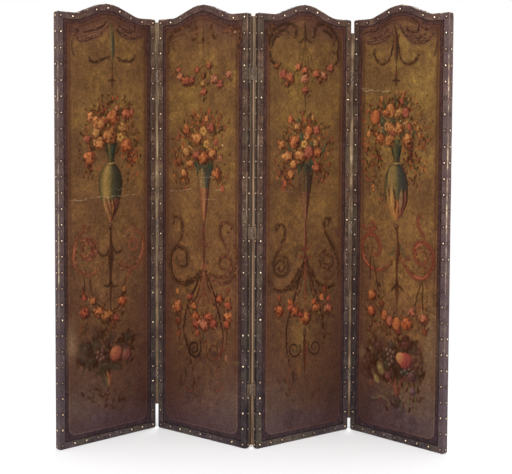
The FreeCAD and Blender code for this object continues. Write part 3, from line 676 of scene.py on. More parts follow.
def stroke(skin, places, wide, colour, strength=0.92, ends=(0.25, 0.1), thick=0.35, shadow=0.0, soft=2.2 * MM,
           least=0.5):
    """A brush line, with a shadow to its lower right. Its width, in pixels, is read off a list along
    it, and rises from each end's share over the first and last quarter."""
    places = read_rows(places)[0] if isinstance(places, str) else places
    across, up = spot(skin.leaf, *np.asarray(places, float).T)
    line, share = smooth_line(np.stack([across, up], axis=1))
    widths = np.atleast_1d(wide)
    half = (np.interp(share, np.linspace(0, 1, len(widths)), widths) * 1.12 + least) * PIXEL / 2
    half *= ends[0] + (1 - ends[0]) * soft_step(share, 0, 0.22)
    half *= ends[1] + (1 - ends[1]) * soft_step(1 - share, 0, 0.3)
    margin = half.max() + 2 * soft + (SHADOW_SHIFT if shadow else 0)
    if shadow:
        cells, under = cover_line(skin, line, half, 2 * soft, margin, SHADOW_SHIFT)
        skin.lay(cells, under * shadow, SHADOW_COLOUR)
    cells, cover = cover_line(skin, line, half, soft, margin)
    skin.lay(cells, cover * strength, colour, thick)


def blob(skin, x, y, wide, tall, turn=0.0, reach=1.6):
    """The window round a turned oval with its middle at a pixel, and each point's place in it, from
    -1 to 1 inside it."""
    across, up = (float(value) for value in spot(skin.leaf, x, y))
    extent = max(wide, tall) * reach
    cells = skin.window(across - extent, across + extent, up - extent, up + extent)
    right, over = skin.across[cells] - across, skin.up[cells] - up
    cosine, sine = math.cos(turn), math.sin(turn)
    return cells, (right * cosine + over * sine) / wide, (over * cosine - right * sine) / tall


def dab(skin, x, y, wide, tall, colour, turn=0.0, strength=0.85, thick=0.3, edge=0.35):
    """One touch of the brush: an oval, wide and tall in pixels, with a soft edge."""
    cells, p, q = blob(skin, x, y, wide * PIXEL, tall * PIXEL, turn)
    skin.lay(cells, strength * np.clip((1 - np.hypot(p, q)) / edge + 0.5, 0, 1), colour, thick, 0.2)


def sprinkle(skin, centre, spread, count, size, colours, seed, strength=0.9):
    """Small leaf touches strewn in an oval round a centre, thinner towards its rim and turned
    outwards from it."""
    rng = np.random.default_rng(seed)
    angle, reach = rng.random(count) * 2 * math.pi, rng.random(count) ** 0.6
    picks, grows, tilts = rng.integers(len(colours), size=count), rng.random(count), rng.normal(0, 0.5, count)
    for a, r, pick, grow, tilt in zip(angle, reach, picks, grows, tilts):
        x, y = centre[0] + spread[0] * r * math.cos(a), centre[1] + spread[1] * r * math.sin(a)
        long, thin = size * (0.85 + 0.9 * grow), size * (0.46 + 0.26 * grow)
        turn = math.atan2(-0.6 * math.cos(a), 1) + tilt
        dab(skin, x, y, thin, long, colours[pick], turn, strength * (0.55 + 0.45 * grow), edge=0.7)


# %% Blooms, buds and fruit
LEAF_DARK, LEAF_OLIVE, UMBER, WINE = (52, 30, 12), (82, 64, 30), (38, 17, 7), (90, 40, 27)
BLOOM_COLOURS = {
    "orange": ((167, 112, 65), (146, 90, 49), (82, 38, 20)),
    "flame": ((160, 96, 55), (138, 74, 41), (76, 30, 16)),
    "red": ((150, 84, 55), (132, 68, 45), (68, 27, 17)),
    "crimson": ((143, 79, 58), (126, 64, 47), (64, 25, 18)),
    "tan": ((158, 113, 64), (128, 86, 47), (72, 41, 21)),
    "yellow": ((164, 123, 66), (138, 97, 48), (72, 45, 21)),
    "pink": ((160, 109, 79), (146, 87, 62), (80, 37, 25)),
    "rust": ((122, 72, 43), (98, 53, 33), (50, 23, 14)),
}


def flower_paints(skin, kind, x, y):
    """A flower's light, body and shade; those low on the leaf have darkened with the ground."""
    up = float(spot(skin.leaf, x, y)[1])
    worn = np.array((0.96, 0.86, 0.86)) + np.array((0.04, 0.14, 0.14)) * min(max((up - 0.6) / 0.5, 0), 1)
    return [np.array(colour, float) * worn for colour in BLOOM_COLOURS[kind]]


def mix(colour, other, share):
    """One colour blended into another by a share at each point."""
    return colour + (other - colour) * np.clip(share, 0, 1)[..., None]


def bloom(skin, x, y, size, kind, petals=5, turn=0.0):
    """A full-blown flower. With r the distance from the heart over the radius and a the angle, the
    rim lies at 1 + 0.07 cos(petals a), petals turn from light to shade as the angle runs on by 5 r,
    a soft random stir keeps them uneven, the rim reddens and the folds are drawn in shade."""
    light, body, shade = flower_paints(skin, kind, x, y)
    radius = size * PIXEL * 1.08
    cells, p, q = blob(skin, x, y, radius, radius, reach=1.5)
    r, a = np.hypot(p, q), np.arctan2(q, p)
    skin.lay(cells, 0.7 * np.clip((1.35 - np.hypot(p - 0.08, q + 0.1)) / 0.45, 0, 1), UMBER, 0, 0.25)
    stir = drifts(skin.across[cells], skin.up[cells], radius * 0.7, int(x * 7 + y)) - 0.5
    rim = 1 + 0.07 * np.cos(petals * (a + turn)) + 0.35 * stir
    patch = drifts(skin.across[cells], skin.up[cells], radius * 0.42, int(x * 5 + y * 3)) - 0.5
    petal = np.clip(0.5 + 0.22 * np.cos((petals - 2) * (a + turn) + 6 * r + 7 * stir) + 1.5 * patch, 0, 1)
    facing = np.clip(0.58 - 0.28 * p + 0.32 * q + 0.7 * stir, 0, 1)
    colour = mix(body, light, soft_step(facing * (0.4 + 0.6 * petal), 0.24, 0.66))
    colour = mix(colour, 0.62 * body + 0.38 * shade, 0.75 * soft_step(r / rim, 0.5, 1.0) * (1 - 0.6 * facing))
    colour = mix(colour, shade, 0.6 * (1 - soft_step(petal, 0, 0.34)) * soft_step(r, 0.1, 0.4))
    skin.lay(cells, np.clip((rim - r) / 0.6 + 0.4, 0, 1) * 0.9, colour, 0.7, 0.3)
    rng = np.random.default_rng(int(x * 31 + y * 17))
    for a in rng.uniform(0, 2 * math.pi, int(5 + size)):
        reach, lit = size * rng.uniform(0.45, 1.1), -0.6 * (math.cos(a) + math.sin(a)) + rng.normal(0, 0.3)
        tone = light * 1.04 if lit > 0.45 else body if lit > 0 else shade if lit > -0.4 else UMBER
        dab(skin, x + reach * math.cos(a), y + reach * math.sin(a), 0.13 * size + 0.3, 0.22 * size + 0.5,
            tone, math.pi - a, 0.75, 0.2, 0.7)


def ring_flower(skin, x, y, size, kind):
    """A small open flower: a light ring at two thirds of its radius round a dark eye."""
    light, body, shade = flower_paints(skin, kind, x, y)
    cells, p, q = blob(skin, x, y, size * PIXEL, size * PIXEL)
    r, lobes = np.hypot(p, q), np.cos(5 * np.arctan2(q, p))
    colour = mix(mix(shade, body, r / 0.4), light, np.exp(-((r - 0.66) / 0.2) ** 2) * (0.6 + 0.4 * lobes))
    skin.lay(cells, 0.92 * np.clip((1 + 0.14 * lobes - r) / 0.2 + 0.5, 0, 1), colour, 0.6, 0.15)


def bud(skin, x, y, wide, tall, kind, turn=0.0):
    """A closed bud or tulip: an oval with flame stripes down it and its light on the left."""
    light, body, shade = flower_paints(skin, kind, x, y)
    cells, p, q = blob(skin, x, y, wide * PIXEL * 1.15, tall * PIXEL, turn)
    r = np.hypot(p, q)
    skin.lay(cells, 0.4 * np.clip((1.3 - np.hypot(p - 0.1, q + 0.1)) / 0.3, 0, 1), UMBER, 0, 0.2)
    stripe = 0.5 + 0.5 * np.cos(6.5 * p + 1.2)
    colour = mix(body, light, stripe * soft_step(0.4 - p * 0.6 + q * 0.3, 0.1, 0.8))
    colour = mix(colour, shade, soft_step(p, 0.2, 1.0) * 0.6 + soft_step(r, 0.8, 1.0) * 0.4)
    skin.lay(cells, 0.92 * np.clip((1 - r) / 0.16 + 0.5, 0, 1), colour, 0.5, 0.15)


def fruit(skin, x, y, size, light, body, shade, squeeze=1.0):
    """A shaded ball: its light is how far the round surface turns to the upper left."""
    light, body, shade = (np.array(c, float) for c in (light, body, shade))
    cells, p, q = blob(skin, x, y, size * PIXEL * squeeze, size * PIXEL, reach=1.3)
    r = np.hypot(p, q)
    facing = np.sqrt(np.clip(1 - r ** 2, 0, 1)) * 0.62 - 0.55 * p + 0.42 * q
    colour = mix(mix(shade, body, soft_step(facing, -0.25, 0.4)), light, soft_step(facing, 0.45, 1.05))
    skin.lay(cells, 0.95 * np.clip((1 - r) / 0.1 + 0.5, 0, 1), colour, 0.6, 0.12)


VESSEL_EDGE = 3 * MM


def vessel(skin, outline, bands, strength=0.93):
    """An urn or vase. outline gives rows of (y, left x, right x), and the share of the way across
    between them picks the colour from the band that the height falls in."""
    rows = np.asarray(outline, float)
    left, up = spot(skin.leaf, rows[:, 1], rows[:, 0])
    right, _ = spot(skin.leaf, rows[:, 2], rows[:, 0])
    cells = skin.window(left.min() - VESSEL_EDGE, right.max() + VESSEL_EDGE, up.min() - VESSEL_EDGE,
                        up.max() + VESSEL_EDGE)
    x, z = skin.across[cells], skin.up[cells]
    order = np.argsort(up)
    low, high = np.interp(z, up[order], left[order]), np.interp(z, up[order], right[order])
    share = (x - low) / np.maximum(high - low, MM)
    cover = np.clip(np.minimum(x - low, high - x) / (2.4 * MM) + 0.5, 0, 1) * (z > up.min()) * (z < up.max())
    skin.lay(cells, cover, UMBER, 0.2, 0.05)
    step = lambda level: soft_step(z, level - VESSEL_EDGE, level + VESSEL_EDGE)
    for top, bottom, stops in bands:
        high_up, low_up = (float(spot(skin.leaf, rows[:, 1:].mean(), y)[1]) for y in (top, bottom))
        here = step(low_up) * (1 - step(high_up))
        colour = shade_between(stops, share) * (0.92 + 0.16 * skin.grain[cells])[..., None]
        skin.lay(cells, cover * here * strength, colour, 0.25, 0.05)

# %% [markdown]
# ## The arabesque
# The pattern is a common one of its kind: swags and a drop at the top, a bouquet in an urn or a
# cone vase, scrolls on a thin stem, a loose festoon of roses, and a bunch of fruit or a fading
# scroll at the foot. The two outer leaves share one design and the two inner ones the other, and
# each has its own flowers.

# %% Paints and places by name
PAINTS = {"sepia": (44, 24, 13), "brown": (66, 38, 20), "red": (110, 60, 40), "bright": (145, 79, 53),
          "garnet": (84, 36, 25), "smoke": (54, 32, 24), "bark": (51, 28, 14), "nut": (58, 33, 18),
          "russet": (82, 43, 29), "brick": (98, 48, 36), "ruby": (116, 54, 36), "moss": (76, 63, 40),
          "sage": (85, 74, 48), "tan": (112, 69, 45)}
CLEAN_PAINTS = ("red", "ruby")
SEPIA, CRACK, UNDER_LINE, LIT_EDGE = PAINTS["sepia"], (196, 172, 146), (66, 38, 22), (176, 126, 80)
SMALL_LEAVES = [UMBER, UMBER, LEAF_DARK, LEAF_OLIVE, (92, 42, 24), (58, 33, 20)]
RED_TOUCHES = [(134, 56, 32), (112, 44, 28), (156, 86, 42), UMBER]
STALK_LEAVES = RED_TOUCHES[:2] + SMALL_LEAVES


def read_rows(text):
    """A table written as text: a semicolon ends a row, and a word in it is a name, a number, a
    place as x,y or several numbers as a/b/c."""
    def value(word):
        numbers = [] if word[0].isalpha() else [float(part) for part in word.replace("/", ",").split(",")]
        return word if not numbers else numbers[0] if len(numbers) == 1 else tuple(numbers)
    return [[value(word) for word in row.split()] for row in text.split(";")]


def feather(skin, places, colour, wide, seed):
    """Short touches along a line, turned a little to either side of it, light, plain or dark, that
    break it up as leaves do on a drawn scroll."""
    rng, points = np.random.default_rng(seed), np.asarray(places, float)
    run = np.concatenate([[0], np.cumsum(np.hypot(*np.diff(points, axis=0).T))])
    at = np.arange(1.5, run[-1] - 0.5, 1.9)
    at = at + rng.uniform(-0.5, 0.5, len(at))
    x, y = (np.interp(at, run, points[:, k]) for k in (0, 1))
    ahead = np.arctan2(np.interp(at + 1, run, points[:, 1]) - y, np.interp(at + 1, run, points[:, 0]) - x)
    colour = np.array(colour)
    tones = [colour * 0.6, colour * 0.8, UMBER, 0.6 * colour + 0.4 * np.array((178, 118, 78))]
    for px, py, way, pick in zip(x, y, ahead, rng.integers(4, size=len(x))):
        side = way + rng.choice((-1, 1)) * rng.uniform(0.15, 0.75)
        off, tall = rng.uniform(-0.55, 0.55) * wide, rng.uniform(1.0, 2.1)
        dab(skin, px - off * math.sin(way), py + off * math.cos(way), 0.55, tall, tones[pick],
            math.pi / 2 - side, 0.8, 0.2, 0.7)


def lines(skin, table, leafy=False, **brush):
    """Strokes from a table of paint, width and places, where a row may leave out the first two and
    keep those of the row before. A leafy one has a soft shade under it, a
    thinner line that keeps beside it and touches along it, under the line if its paint is a clean
    one; others, if over 1.8 pixels wide, get a thin light edge."""
    for number, row in enumerate(read_rows(table) if isinstance(table, str) else table):
        if isinstance(row[0], str) or len(row[0]) == 3:
            paint, wide, *row = row
        colour, broad, points = np.array(PAINTS.get(paint, paint)), float(np.max(wide)), np.array(row, float)
        if leafy:
            stroke(skin, points, broad + 2.0, UNDER_LINE, 0.34, ends=(0.2, 0.2), thick=0, soft=5 * MM)
            along = np.gradient(points, axis=0)
            beside = np.stack([along[:, 1], -along[:, 0]], axis=1) / np.maximum(np.hypot(*along.T), 0.1)[:, None]
            stroke(skin, points + beside * (broad * 0.5 + 1.1), 0.5, 0.8 * colour, 0.72, ends=(0.1, 0.1), thick=0.1)
            for touches in (True, False) if paint in CLEAN_PAINTS else (False, True):
                if touches:
                    feather(skin, points, colour, broad, int(points[0].sum() * 7) + number)
                else:
                    stroke(skin, points, 0.75 * np.asarray(wide), 0.88 * colour, **brush)
        else:
            stroke(skin, points, wide, colour, **brush)
            if broad > 1.8:
                lit = 0.6 * colour + 0.4 * np.array(LIT_EDGE)
                stroke(skin, points - 0.5, 0.3, lit, 0.45, ends=(0.2, 0.1), thick=0.1)


def flowers(skin, table, veil=0):
    """Blooms, and the buds and rings that are named so, from a table of colour, place and size, with
    a veil of so many dark and light touches over the middle of the bunch."""
    table = read_rows(table)
    for number, (*what, kind, (x, y), size) in enumerate(table):
        if what == ["bud"]:
            bud(skin, x, y, size * 0.72, size, kind, 0.3 * math.sin(2.1 * number))
        elif what == ["ring"]:
            ring_flower(skin, x, y, size, kind)
        else:
            bloom(skin, x, y, size, kind, 5 + number % 2, 0.7 * number)
    if veil:
        places = np.array([row[-2] for row in table])
        middle, reach = np.median(places, axis=0), places.std(axis=0) * 1.5
        sprinkle(skin, middle, reach, veil, 0.85, [UMBER, UMBER, LEAF_DARK, (84, 34, 22)], int(middle.sum()), 0.6)
        sprinkle(skin, middle, reach, veil // 2, 0.7, [(176, 120, 76), (166, 96, 62), (150, 116, 66)],
                 int(middle.sum()) + 1, 0.55)


def spray(skin, x, y, reach, count, seed, up=True):
    """Thin stalks that fan out of a point with small leaves along them; those that hang keep closer
    together and nearly plumb."""
    rng = np.random.default_rng(seed)
    low, wide, way = (0.1, 0.8, 1) if up else (0.3, 0.42, -1)
    for k in range(count):
        a = math.pi * (low + wide * (k + 0.5 * rng.random()) / count)
        long = reach * rng.uniform(0.6, 1.05)
        root = x + (0 if up else (k - count / 2) * 1.6)
        steps = np.linspace(0, 1, 4)
        sideways = root + long * math.cos(a) * steps + rng.normal(0, 0.7, 4)
        stalk = np.stack([sideways, y - way * long * math.sin(a) * steps], axis=1)
        stroke(skin, stalk, 0.5, SEPIA, 0.55, thick=0.1)
        for step in np.arange(0.3, 1.05, 0.16):
            at = np.array([np.interp(step, steps, stalk[:, k]) for k in (0, 1)]) + rng.normal(0, 0.9, 2)
            tall, pick = rng.uniform(1.0, 1.9), int(rng.integers(len(STALK_LEAVES)))
            turn = way * (a - math.pi / 2) + rng.normal(0, 0.4)
            dab(skin, *at, 0.75, tall, STALK_LEAVES[pick], turn, 0.85, edge=0.6)


def roundel(skin, x, y, reach_x, reach_y, wide, colour, turns=1.0, start=0.0, way=1, inner=0.25, strength=0.8):
    """A spiral line: its radius falls from 1 to inner as its angle runs round by so many turns. A
    small one is a plain line, because touches would close its gaps."""
    t = np.linspace(0, 1, 16)
    angle = start + way * t * turns * 2 * math.pi
    radius = 1 + (inner - 1) * t ** 0.9
    places = np.stack([x + reach_x * radius * np.cos(angle), y - reach_y * radius * np.sin(angle)], axis=1)
    lines(skin, [(colour, wide, *places)], leafy=reach_x > 7, strength=strength, ends=(0.8, 0.6))


def scatter(skin, table, size, colours, seed, strength=0.9):
    """Sprinkled leaves from a table of centre, spread and count, and size if it isn't given."""
    for number, (centre, spread, count, *own) in enumerate(read_rows(table)):
        sprinkle(skin, centre, spread, int(count), own[0] if own else size, colours, seed + number, strength)


def sprays(skin, table, up=True):
    """Sprays from a table of place, reach, count and seed."""
    for (x, y), reach, count, seed in read_rows(table):
        spray(skin, x, y, reach, int(count), int(seed), up)


def row_places(row):
    """A row's places, and what else it holds."""
    is_place = lambda word: isinstance(word, tuple) and len(word) == 2
    return [word for word in row if is_place(word)], [PAINTS.get(word, word) for word in row if not is_place(word)]


def dabs(skin, table):
    """Touches from a table of places, width, height and paint, and turn and strength if they matter."""
    for places, brush in map(row_places, read_rows(table)):
        for x, y in places:
            dab(skin, x, y, *brush)


def fruits(skin, table):
    """Fruit from a table of places, size, light, body and shade, and how wide for its height."""
    for places, paints in map(row_places, read_rows(table)):
        for x, y in places:
            fruit(skin, x, y, *paints)


def roundels(skin, table):
    """Spirals from a table of centre, reaches, width and colour, and turns, start and way if they matter."""
    for places, (reach_x, reach_y, wide, colour, *spin) in map(row_places, read_rows(table)):
        roundel(skin, *places[0], reach_x, reach_y, wide, colour, *spin)


def tucked_leaves(skin, table, dark, lit):
    """The dark leaves between the blooms, each with a lighter rib: place, width, length and turn."""
    for (x, y), wide, tall, turn in read_rows(table):
        dab(skin, x, y, wide, tall, dark, turn, 0.8)
        dab(skin, x - 0.7, y - 1, wide * 0.35, tall * 0.7, lit, turn, 0.6)


def broad_leaves(skin, table):
    """The leaves that the fruit lies on: place, width, length and turn, and colour if it isn't the
    usual dark one."""
    for (x, y), wide, tall, turn, *own in read_rows(table):
        colour = own[0] if own else (50, 38, 26)
        dab(skin, x, y, wide, tall, colour, turn, 0.7, edge=0.6)
        dab(skin, x - 1, y - 1.2, wide * 0.45, tall * 0.28, tuple(part + 28 for part in colour), turn, 0.45)


# %% Cracks and seams
SEAM_DROP, SEAM_WIDE, SEAM_SHADE = 8 * MM, 14 * MM, (72, 48, 34)
TOUCHES_PER_SPAN = 5


def crack_lines(skin, table):
    """Cracks in the paint from a table of strength and places: each is a ragged pale line in short
    broken touches, with a dark lip under it."""
    for strength, *places in read_rows(table):
        points, count = np.array(places), len(places)
        rng, at = np.random.default_rng(int(points[0, 0] * 10)), np.linspace(0, count - 1, TOUCHES_PER_SPAN * count)
        line = np.stack([np.interp(at, np.arange(count), points[:, k]) for k in (0, 1)], axis=1)
        line[1:-1] += rng.normal(0, 0.3, (len(line) - 2, 2))
        stroke(skin, line + (0, 0.8), 0.2, UMBER, 0.4 * strength, ends=(0.3, 0.3), least=0.3)
        for start in range(0, len(line) - 2, 2):
            seen = strength * rng.uniform(0.1, 1.0)
            stroke(skin, line[start:start + 3], 0.1, CRACK, seen, ends=(0.4, 0.4), thick=-0.5, least=0.5)


def seam_shadow(skin, x, y):
    """The seam between two hides: the ground is a shade darker under it, over a hand's breadth."""
    up = spot(skin.leaf, x, y)[1]
    under = np.exp(-((skin.up - up + SEAM_DROP) / SEAM_WIDE) ** 2) * 0.16
    skin.picture += under[..., None] * (np.array(SEAM_SHADE) - skin.picture)


# %% The outer leaves' head: swags, spear and pendant
SWAG_SHADE = (86, 55, 46)
SWAG_FOLDS = ((-2.6, (70, 42, 33), 0.5), (-1.3, (118, 88, 60), 0.4), (-0.3, (60, 35, 27), 0.8),
              (1.0, (112, 80, 55), 0.4), (2.0, (48, 27, 21), 0.9))
SPEAR_TOP, PENDANT_LINE = 22, 71


def outer_head(skin, axis, left_swags, right_swags, hooks, spear, pendant):
    """Each swag is a soft brown shade with four thin fold lines that part in its middle; the hooks
    are ropes of touches, and the spear and pendant hang on the axis."""
    for number, places in enumerate(read_rows(left_swags) + read_rows(right_swags)):
        sag = np.sin(np.linspace(0, math.pi, len(places)))[:, None]
        stroke(skin, places, [3, 8, 5], SWAG_SHADE, 0.5, ends=(0.3, 0.4), thick=0, soft=8 * MM)
        for drop, colour, wide in SWAG_FOLDS:
            stroke(skin, np.array(places) + sag * (0, drop), wide, colour, 0.8, ends=(0.2, 0.3))
        feather(skin, np.array(places) + sag * (0, 1.6), (62, 36, 28), 2.4, 300 + number)
    for number, places in enumerate(read_rows(hooks)):
        stroke(skin, places, [1.6, 2.4, 1.4], (52, 31, 17), 0.82, ends=(0.5, 0.5), shadow=0.25)
        feather(skin, np.array(places) + (0, 0.6), (50, 31, 18), 3.4, 310 + number)
    foot, dark, mid, pale = spear
    top = SPEAR_TOP
    stroke(skin, [(axis - 1.5, top), (axis - 0.5, top + 14), (axis, foot - 10), (axis, foot)],
           [1.2, 2.2, 4.2, 3.8, 1.2], mid, 0.85, ends=(0.6, 0.2), shadow=0.3)
    stroke(skin, [(axis + 0.7, top + 8), (axis + 1.2, foot - 12), (axis + 0.5, foot - 1)], [0.9, 2.0, 1.0],
           dark, 0.85)
    stroke(skin, [(axis - 1.9, top + 4), (axis - 1.4, top + 18), (axis - 0.9, foot - 6)], 0.5, pale, 0.6)
    stroke(skin, [(axis, foot), (axis, PENDANT_LINE)], 0.7, SEPIA, 0.8, ends=(0.8, 0.8))
    top, bar, tip = pendant
    stroke(skin, [(axis, top - 3), (axis, bar), (axis, tip)], [0.6, 2.6, 1.4, 2.6, 1.6, 0.6], (70, 38, 24),
           0.88, ends=(0.7, 0.1), shadow=0.3)
    stroke(skin, [(axis - 5, bar + 0.4), (axis, bar - 0.4), (axis + 5, bar + 0.4)], [0.8, 1.8, 0.8], SEPIA, 0.8)
    dab(skin, axis - 0.6, top + 1, 0.7, 1.3, (134, 84, 54), 0, 0.6)


def petal_cup(skin, axis, table, base, colours):
    """The petals that clasp an urn's foot: each is a tapered stroke from its tip down to the stem,
    with a dark line along its right side. table holds (tip's share, y, foot's share, y, width, colour)."""
    vessel(skin, [(y, axis - a, axis + b) for y, a, b in base], [(base[0][0] - 4, base[-1][0] + 4, colours)])
    half = base[0][1]
    for tip, top, foot, low, wide, colour in table:
        waist = (axis + (0.75 * tip + 0.25 * foot) * half * 0.98, 0.62 * top + 0.38 * low)
        path = np.array([(axis + tip * half, top), waist, (axis + foot * half, low)])
        full, thin = [0.6, wide, wide * 0.5], [0.2, wide * 0.25, 0.2]
        for shift, widths, paint, strength in (((wide * 0.4, 0.5), full, (44, 24, 16), 0.8),
                                               ((0, 0), full, colour, 0.9),
                                               ((-wide * 0.2, 0), thin, np.array(colour) * 1.18, 0.6)):
            stroke(skin, path + shift, widths, paint, strength, ends=(0.15, 0.3), least=0.2)


def urn(skin, axis, neck, body, knob, lit):
    """Neck, ring, egg-shaped body and the knob it stands on."""
    mouth, ring = neck
    half_widths = ((mouth, 5.4, 5.8), (mouth + 5, 4.6, 4.8), (ring - 3, 2.6, 3.2), (ring, 3.4, 3.6))
    tones = [(0, (58, 44, 26)), (0.3, (82, 66, 36)), (0.55, (52, 46, 30)), (1, (30, 28, 22))]
    vessel(skin, [(y, axis - a, axis + b) for y, a, b in half_widths], [(mouth - 2, ring + 2, tones)])
    for off, colour in ((-4, (36, 34, 22)), (-1.4, (72, 68, 38)), (1.6, (40, 52, 38)), (4, (30, 30, 24))):
        stroke(skin, [(axis + off * 1.3, mouth - 3), (axis + off, mouth + 5), (axis + off * 0.5, ring - 2)],
               [1.0, 1.8, 0.6], colour, 0.75, ends=(0.3, 0.3))
    vessel(skin, [(y, axis - a, axis + b) for y, a, b in body], [(body[0][0] - 4, body[-1][0] + 4, lit)])
    for drop, colour, wide in ((1, (126, 104, 62), 0.9), (2.6, UMBER, 0.5)):
        stroke(skin, [(axis - 3.4, ring + drop), (axis, ring + drop + 1), (axis + 3.4, ring + drop)], wide, colour,
               0.75, ends=(0.6, 0.6))
    dab(skin, axis, knob, 3.2, 2.4, (66, 36, 26))
    dab(skin, axis - 0.9, knob - 0.7, 1.3, 0.9, (122, 84, 60), 0, 0.7)
    dab(skin, axis, knob + 2.9, 2.2, 0.9, UMBER, 0, 0.7)


# %% [markdown]
# The outer left leaf is painted from the top down. In each motif what lies behind comes first:
# loose leaves, then hanging sprays, then the vessel, and the blooms last. One function for each
# motif keeps its tables of places short enough to compare with the picture.

# %% Leaf 1, the outer left: its head
def first_head(skin):
    """Swags, hooks and the spear."""
    left_swags = """73.5,34.5 77.5,38 95,35.5 102,32.5 109,25; 79.5,33 94,28.5 103,25 108,21; 71,31 75,33
    78.5,30 76,26.5 73,28"""
    right_swags = """115.5,24.5 119.5,31.5 134.5,37.5 144,35; 117,21.5 123,28 131,31 139,29.5; 127.5,18 134,21
    135,27 129,31 122,28.5"""
    hooks = "89.5,55.5 90.5,60.5 94,62 104,58.5 110,56; 135.5,55.5 133,60 121.5,60 116,56.5"
    outer_head(skin, 112.6, left_swags, right_swags, hooks, (63, (42, 42, 30), (70, 60, 36), (126, 104, 64)),
               (73.5, 80.6, 91))
    swag_tails = """smoke 1.6 148,36 145.5,44 147,53 143,58; 73,38 72,46 74,54 77,58; smoke 1.2 140,46 146,50
    146,57"""
    lines(skin, swag_tails, strength=0.75)


# %% Leaf 1: bouquet and urn
def first_urn(skin):
    """A full bouquet with hanging sprays in a green urn on a petal cup."""
    bouquet_leaves = "109,127 25,22 110; 91,150 13,30 70; 129,142 11,38 80; 113,103 18,10 46; 134,160 7,22 26"
    scatter(skin, bouquet_leaves, 1.35, SMALL_LEAVES + RED_TOUCHES[:2], 11)
    bouquet_sprays = "108,118 20 9 21; 96,118 15 6 22; 125,116 15 6 23; 92,150 11 5 24"
    sprays(skin, bouquet_sprays)
    hanging_sprays = "90,158 22 6 25; 130,148 26 7 26"
    sprays(skin, hanging_sprays, up=False)
    tucked = """104.5,126 3.6 5 0.3; 118.5,127 3 4.5 -0.5; 106,147 3 5 0.2; 117,150 3.2 5 -0.3; 93,147 2.6 4.6
    0.7; 136.5,144 1.8 3.6 -0.5; 101,113 1.6 4.4 0.3; 122,112 1.6 4.4 -0.4"""
    tucked_leaves(skin, tucked, LEAF_DARK, LEAF_OLIVE)
    urn(skin, 111, (143, 162), [(163.5, 3.4, 3.6), (167, 7, 7.2), (173, 10.4, 10.2), (181.6, 11.9, 11.8),
                                (190, 11.7, 11.4), (197, 10.4, 10.2), (203, 8.8, 8.6)], 225.6,
        [(0, (52, 44, 26)), (0.08, (92, 76, 42)), (0.26, (138, 109, 60)), (0.45, (106, 88, 48)),
         (0.58, (62, 56, 36)), (0.74, (44, 40, 29)), (1, (38, 31, 20))])
    petal_cup(skin, 111, [(0.62, 196, 0.12, 217, 4.4, (90, 46, 33)), (0.9, 197, 0.3, 214, 3.2, (74, 38, 28)),
                          (0.22, 198, 0.05, 219, 3.8, (126, 80, 46)), (-0.28, 195, -0.12, 218, 4.0, (134, 92, 54)),
                          (-0.78, 196, -0.25, 215, 3.8, (122, 84, 50))],
              [(203, 8.6, 8.4), (209, 6.4, 6.4), (216, 3.4, 3.4), (222, 0.9, 0.9)],
              [(0, (100, 66, 38)), (0.3, (126, 82, 46)), (0.55, (110, 62, 38)), (0.8, (84, 42, 28)),
               (1, (54, 30, 22))])
    bouquet = """bud red 106,121.5 3.2; orange 91,117.5 4.4; red 126.5,113.5 4.6; flame 113.5,117.5 6.4; orange
    99,123.5 6.6; tan 123.5,128.5 5.6; tan 97,133.5 5.2; orange 110,135.5 7; crimson 88,139 3.6; ring yellow
    120.5,137 4.2; orange 99.5,143.5 5.6; flame 126.5,146 6.6; flame 89.5,157.5 5.6; bud rust 103,110 2.6; bud
    pink 117,108 2.6; bud crimson 132,112 2.8"""
    flowers(skin, bouquet, 90)


# %% Leaf 1: stem and scrolls
def first_scrolls(skin):
    """The spindle-shaped stem, its hooks and the red scrolls on either side."""
    stem = "111,229 111,251 111,300 111,312"
    stroke(skin, stem, [2.4, 3.4, 5.6, 2.4, 1.9, 1.8, 1.6], (48, 24, 13), 0.85, ends=(0.8, 0.3), shadow=0.35)
    stem_light = "110,231 109.5,243 110,256"
    stroke(skin, stem_light, 0.9, (112, 70, 48), 0.6)
    stem_hooks = """sepia 1.9 113,244 114,249 117,252.5 122,249.5 122,246; 109,247 107.5,254 102.5,255.5
    99,251.5 100,248; sepia 1.6 104,285 108,286.5 111,279; 118,285 114,286.5 111,279"""
    lines(skin, stem_hooks, shadow=0.25)
    scrolls = """red 2.4 92,226.5 80,234 76,242 76,268.5 91,275.5 98,271.5 103.5,263 109,259; red 1.9 79.5,241
    84.5,239 89.5,240.5 94,251.5 86.5,258 82.5,254.5 83,249.5 86.5,248.5; red 2.2 124,228 130,230 136,230.5
    142,234 144,242 143,253.5 133,268.5 124,268.5 117,263; red 1.7 117,262 122.5,264.5 128.5,266 130.5,270.5
    127.5,276.5 124.5,284"""
    lines(skin, scrolls, leafy=True, shadow=0.2, strength=0.92)
    spirals = "133,244 6.4 8.4 1.5 red 1.6 2.2 -1 0.25; 88.5,250.5 9.6 13 1.4 red 1.8 2.4 -1 0.28"
    roundels(skin, spirals)
    scroll_lights = "bright 1.1 76,243 74.5,252 74,261 77,268.5; bright 1 142.5,240 142.5,250 139.5,259"
    lines(skin, scroll_lights, strength=0.75)
    scroll_touches = "87,240 92,252 132,240 135,258 84,226 134,225 1.8 2.6 garnet 0.6 0.6"
    dabs(skin, scroll_touches)


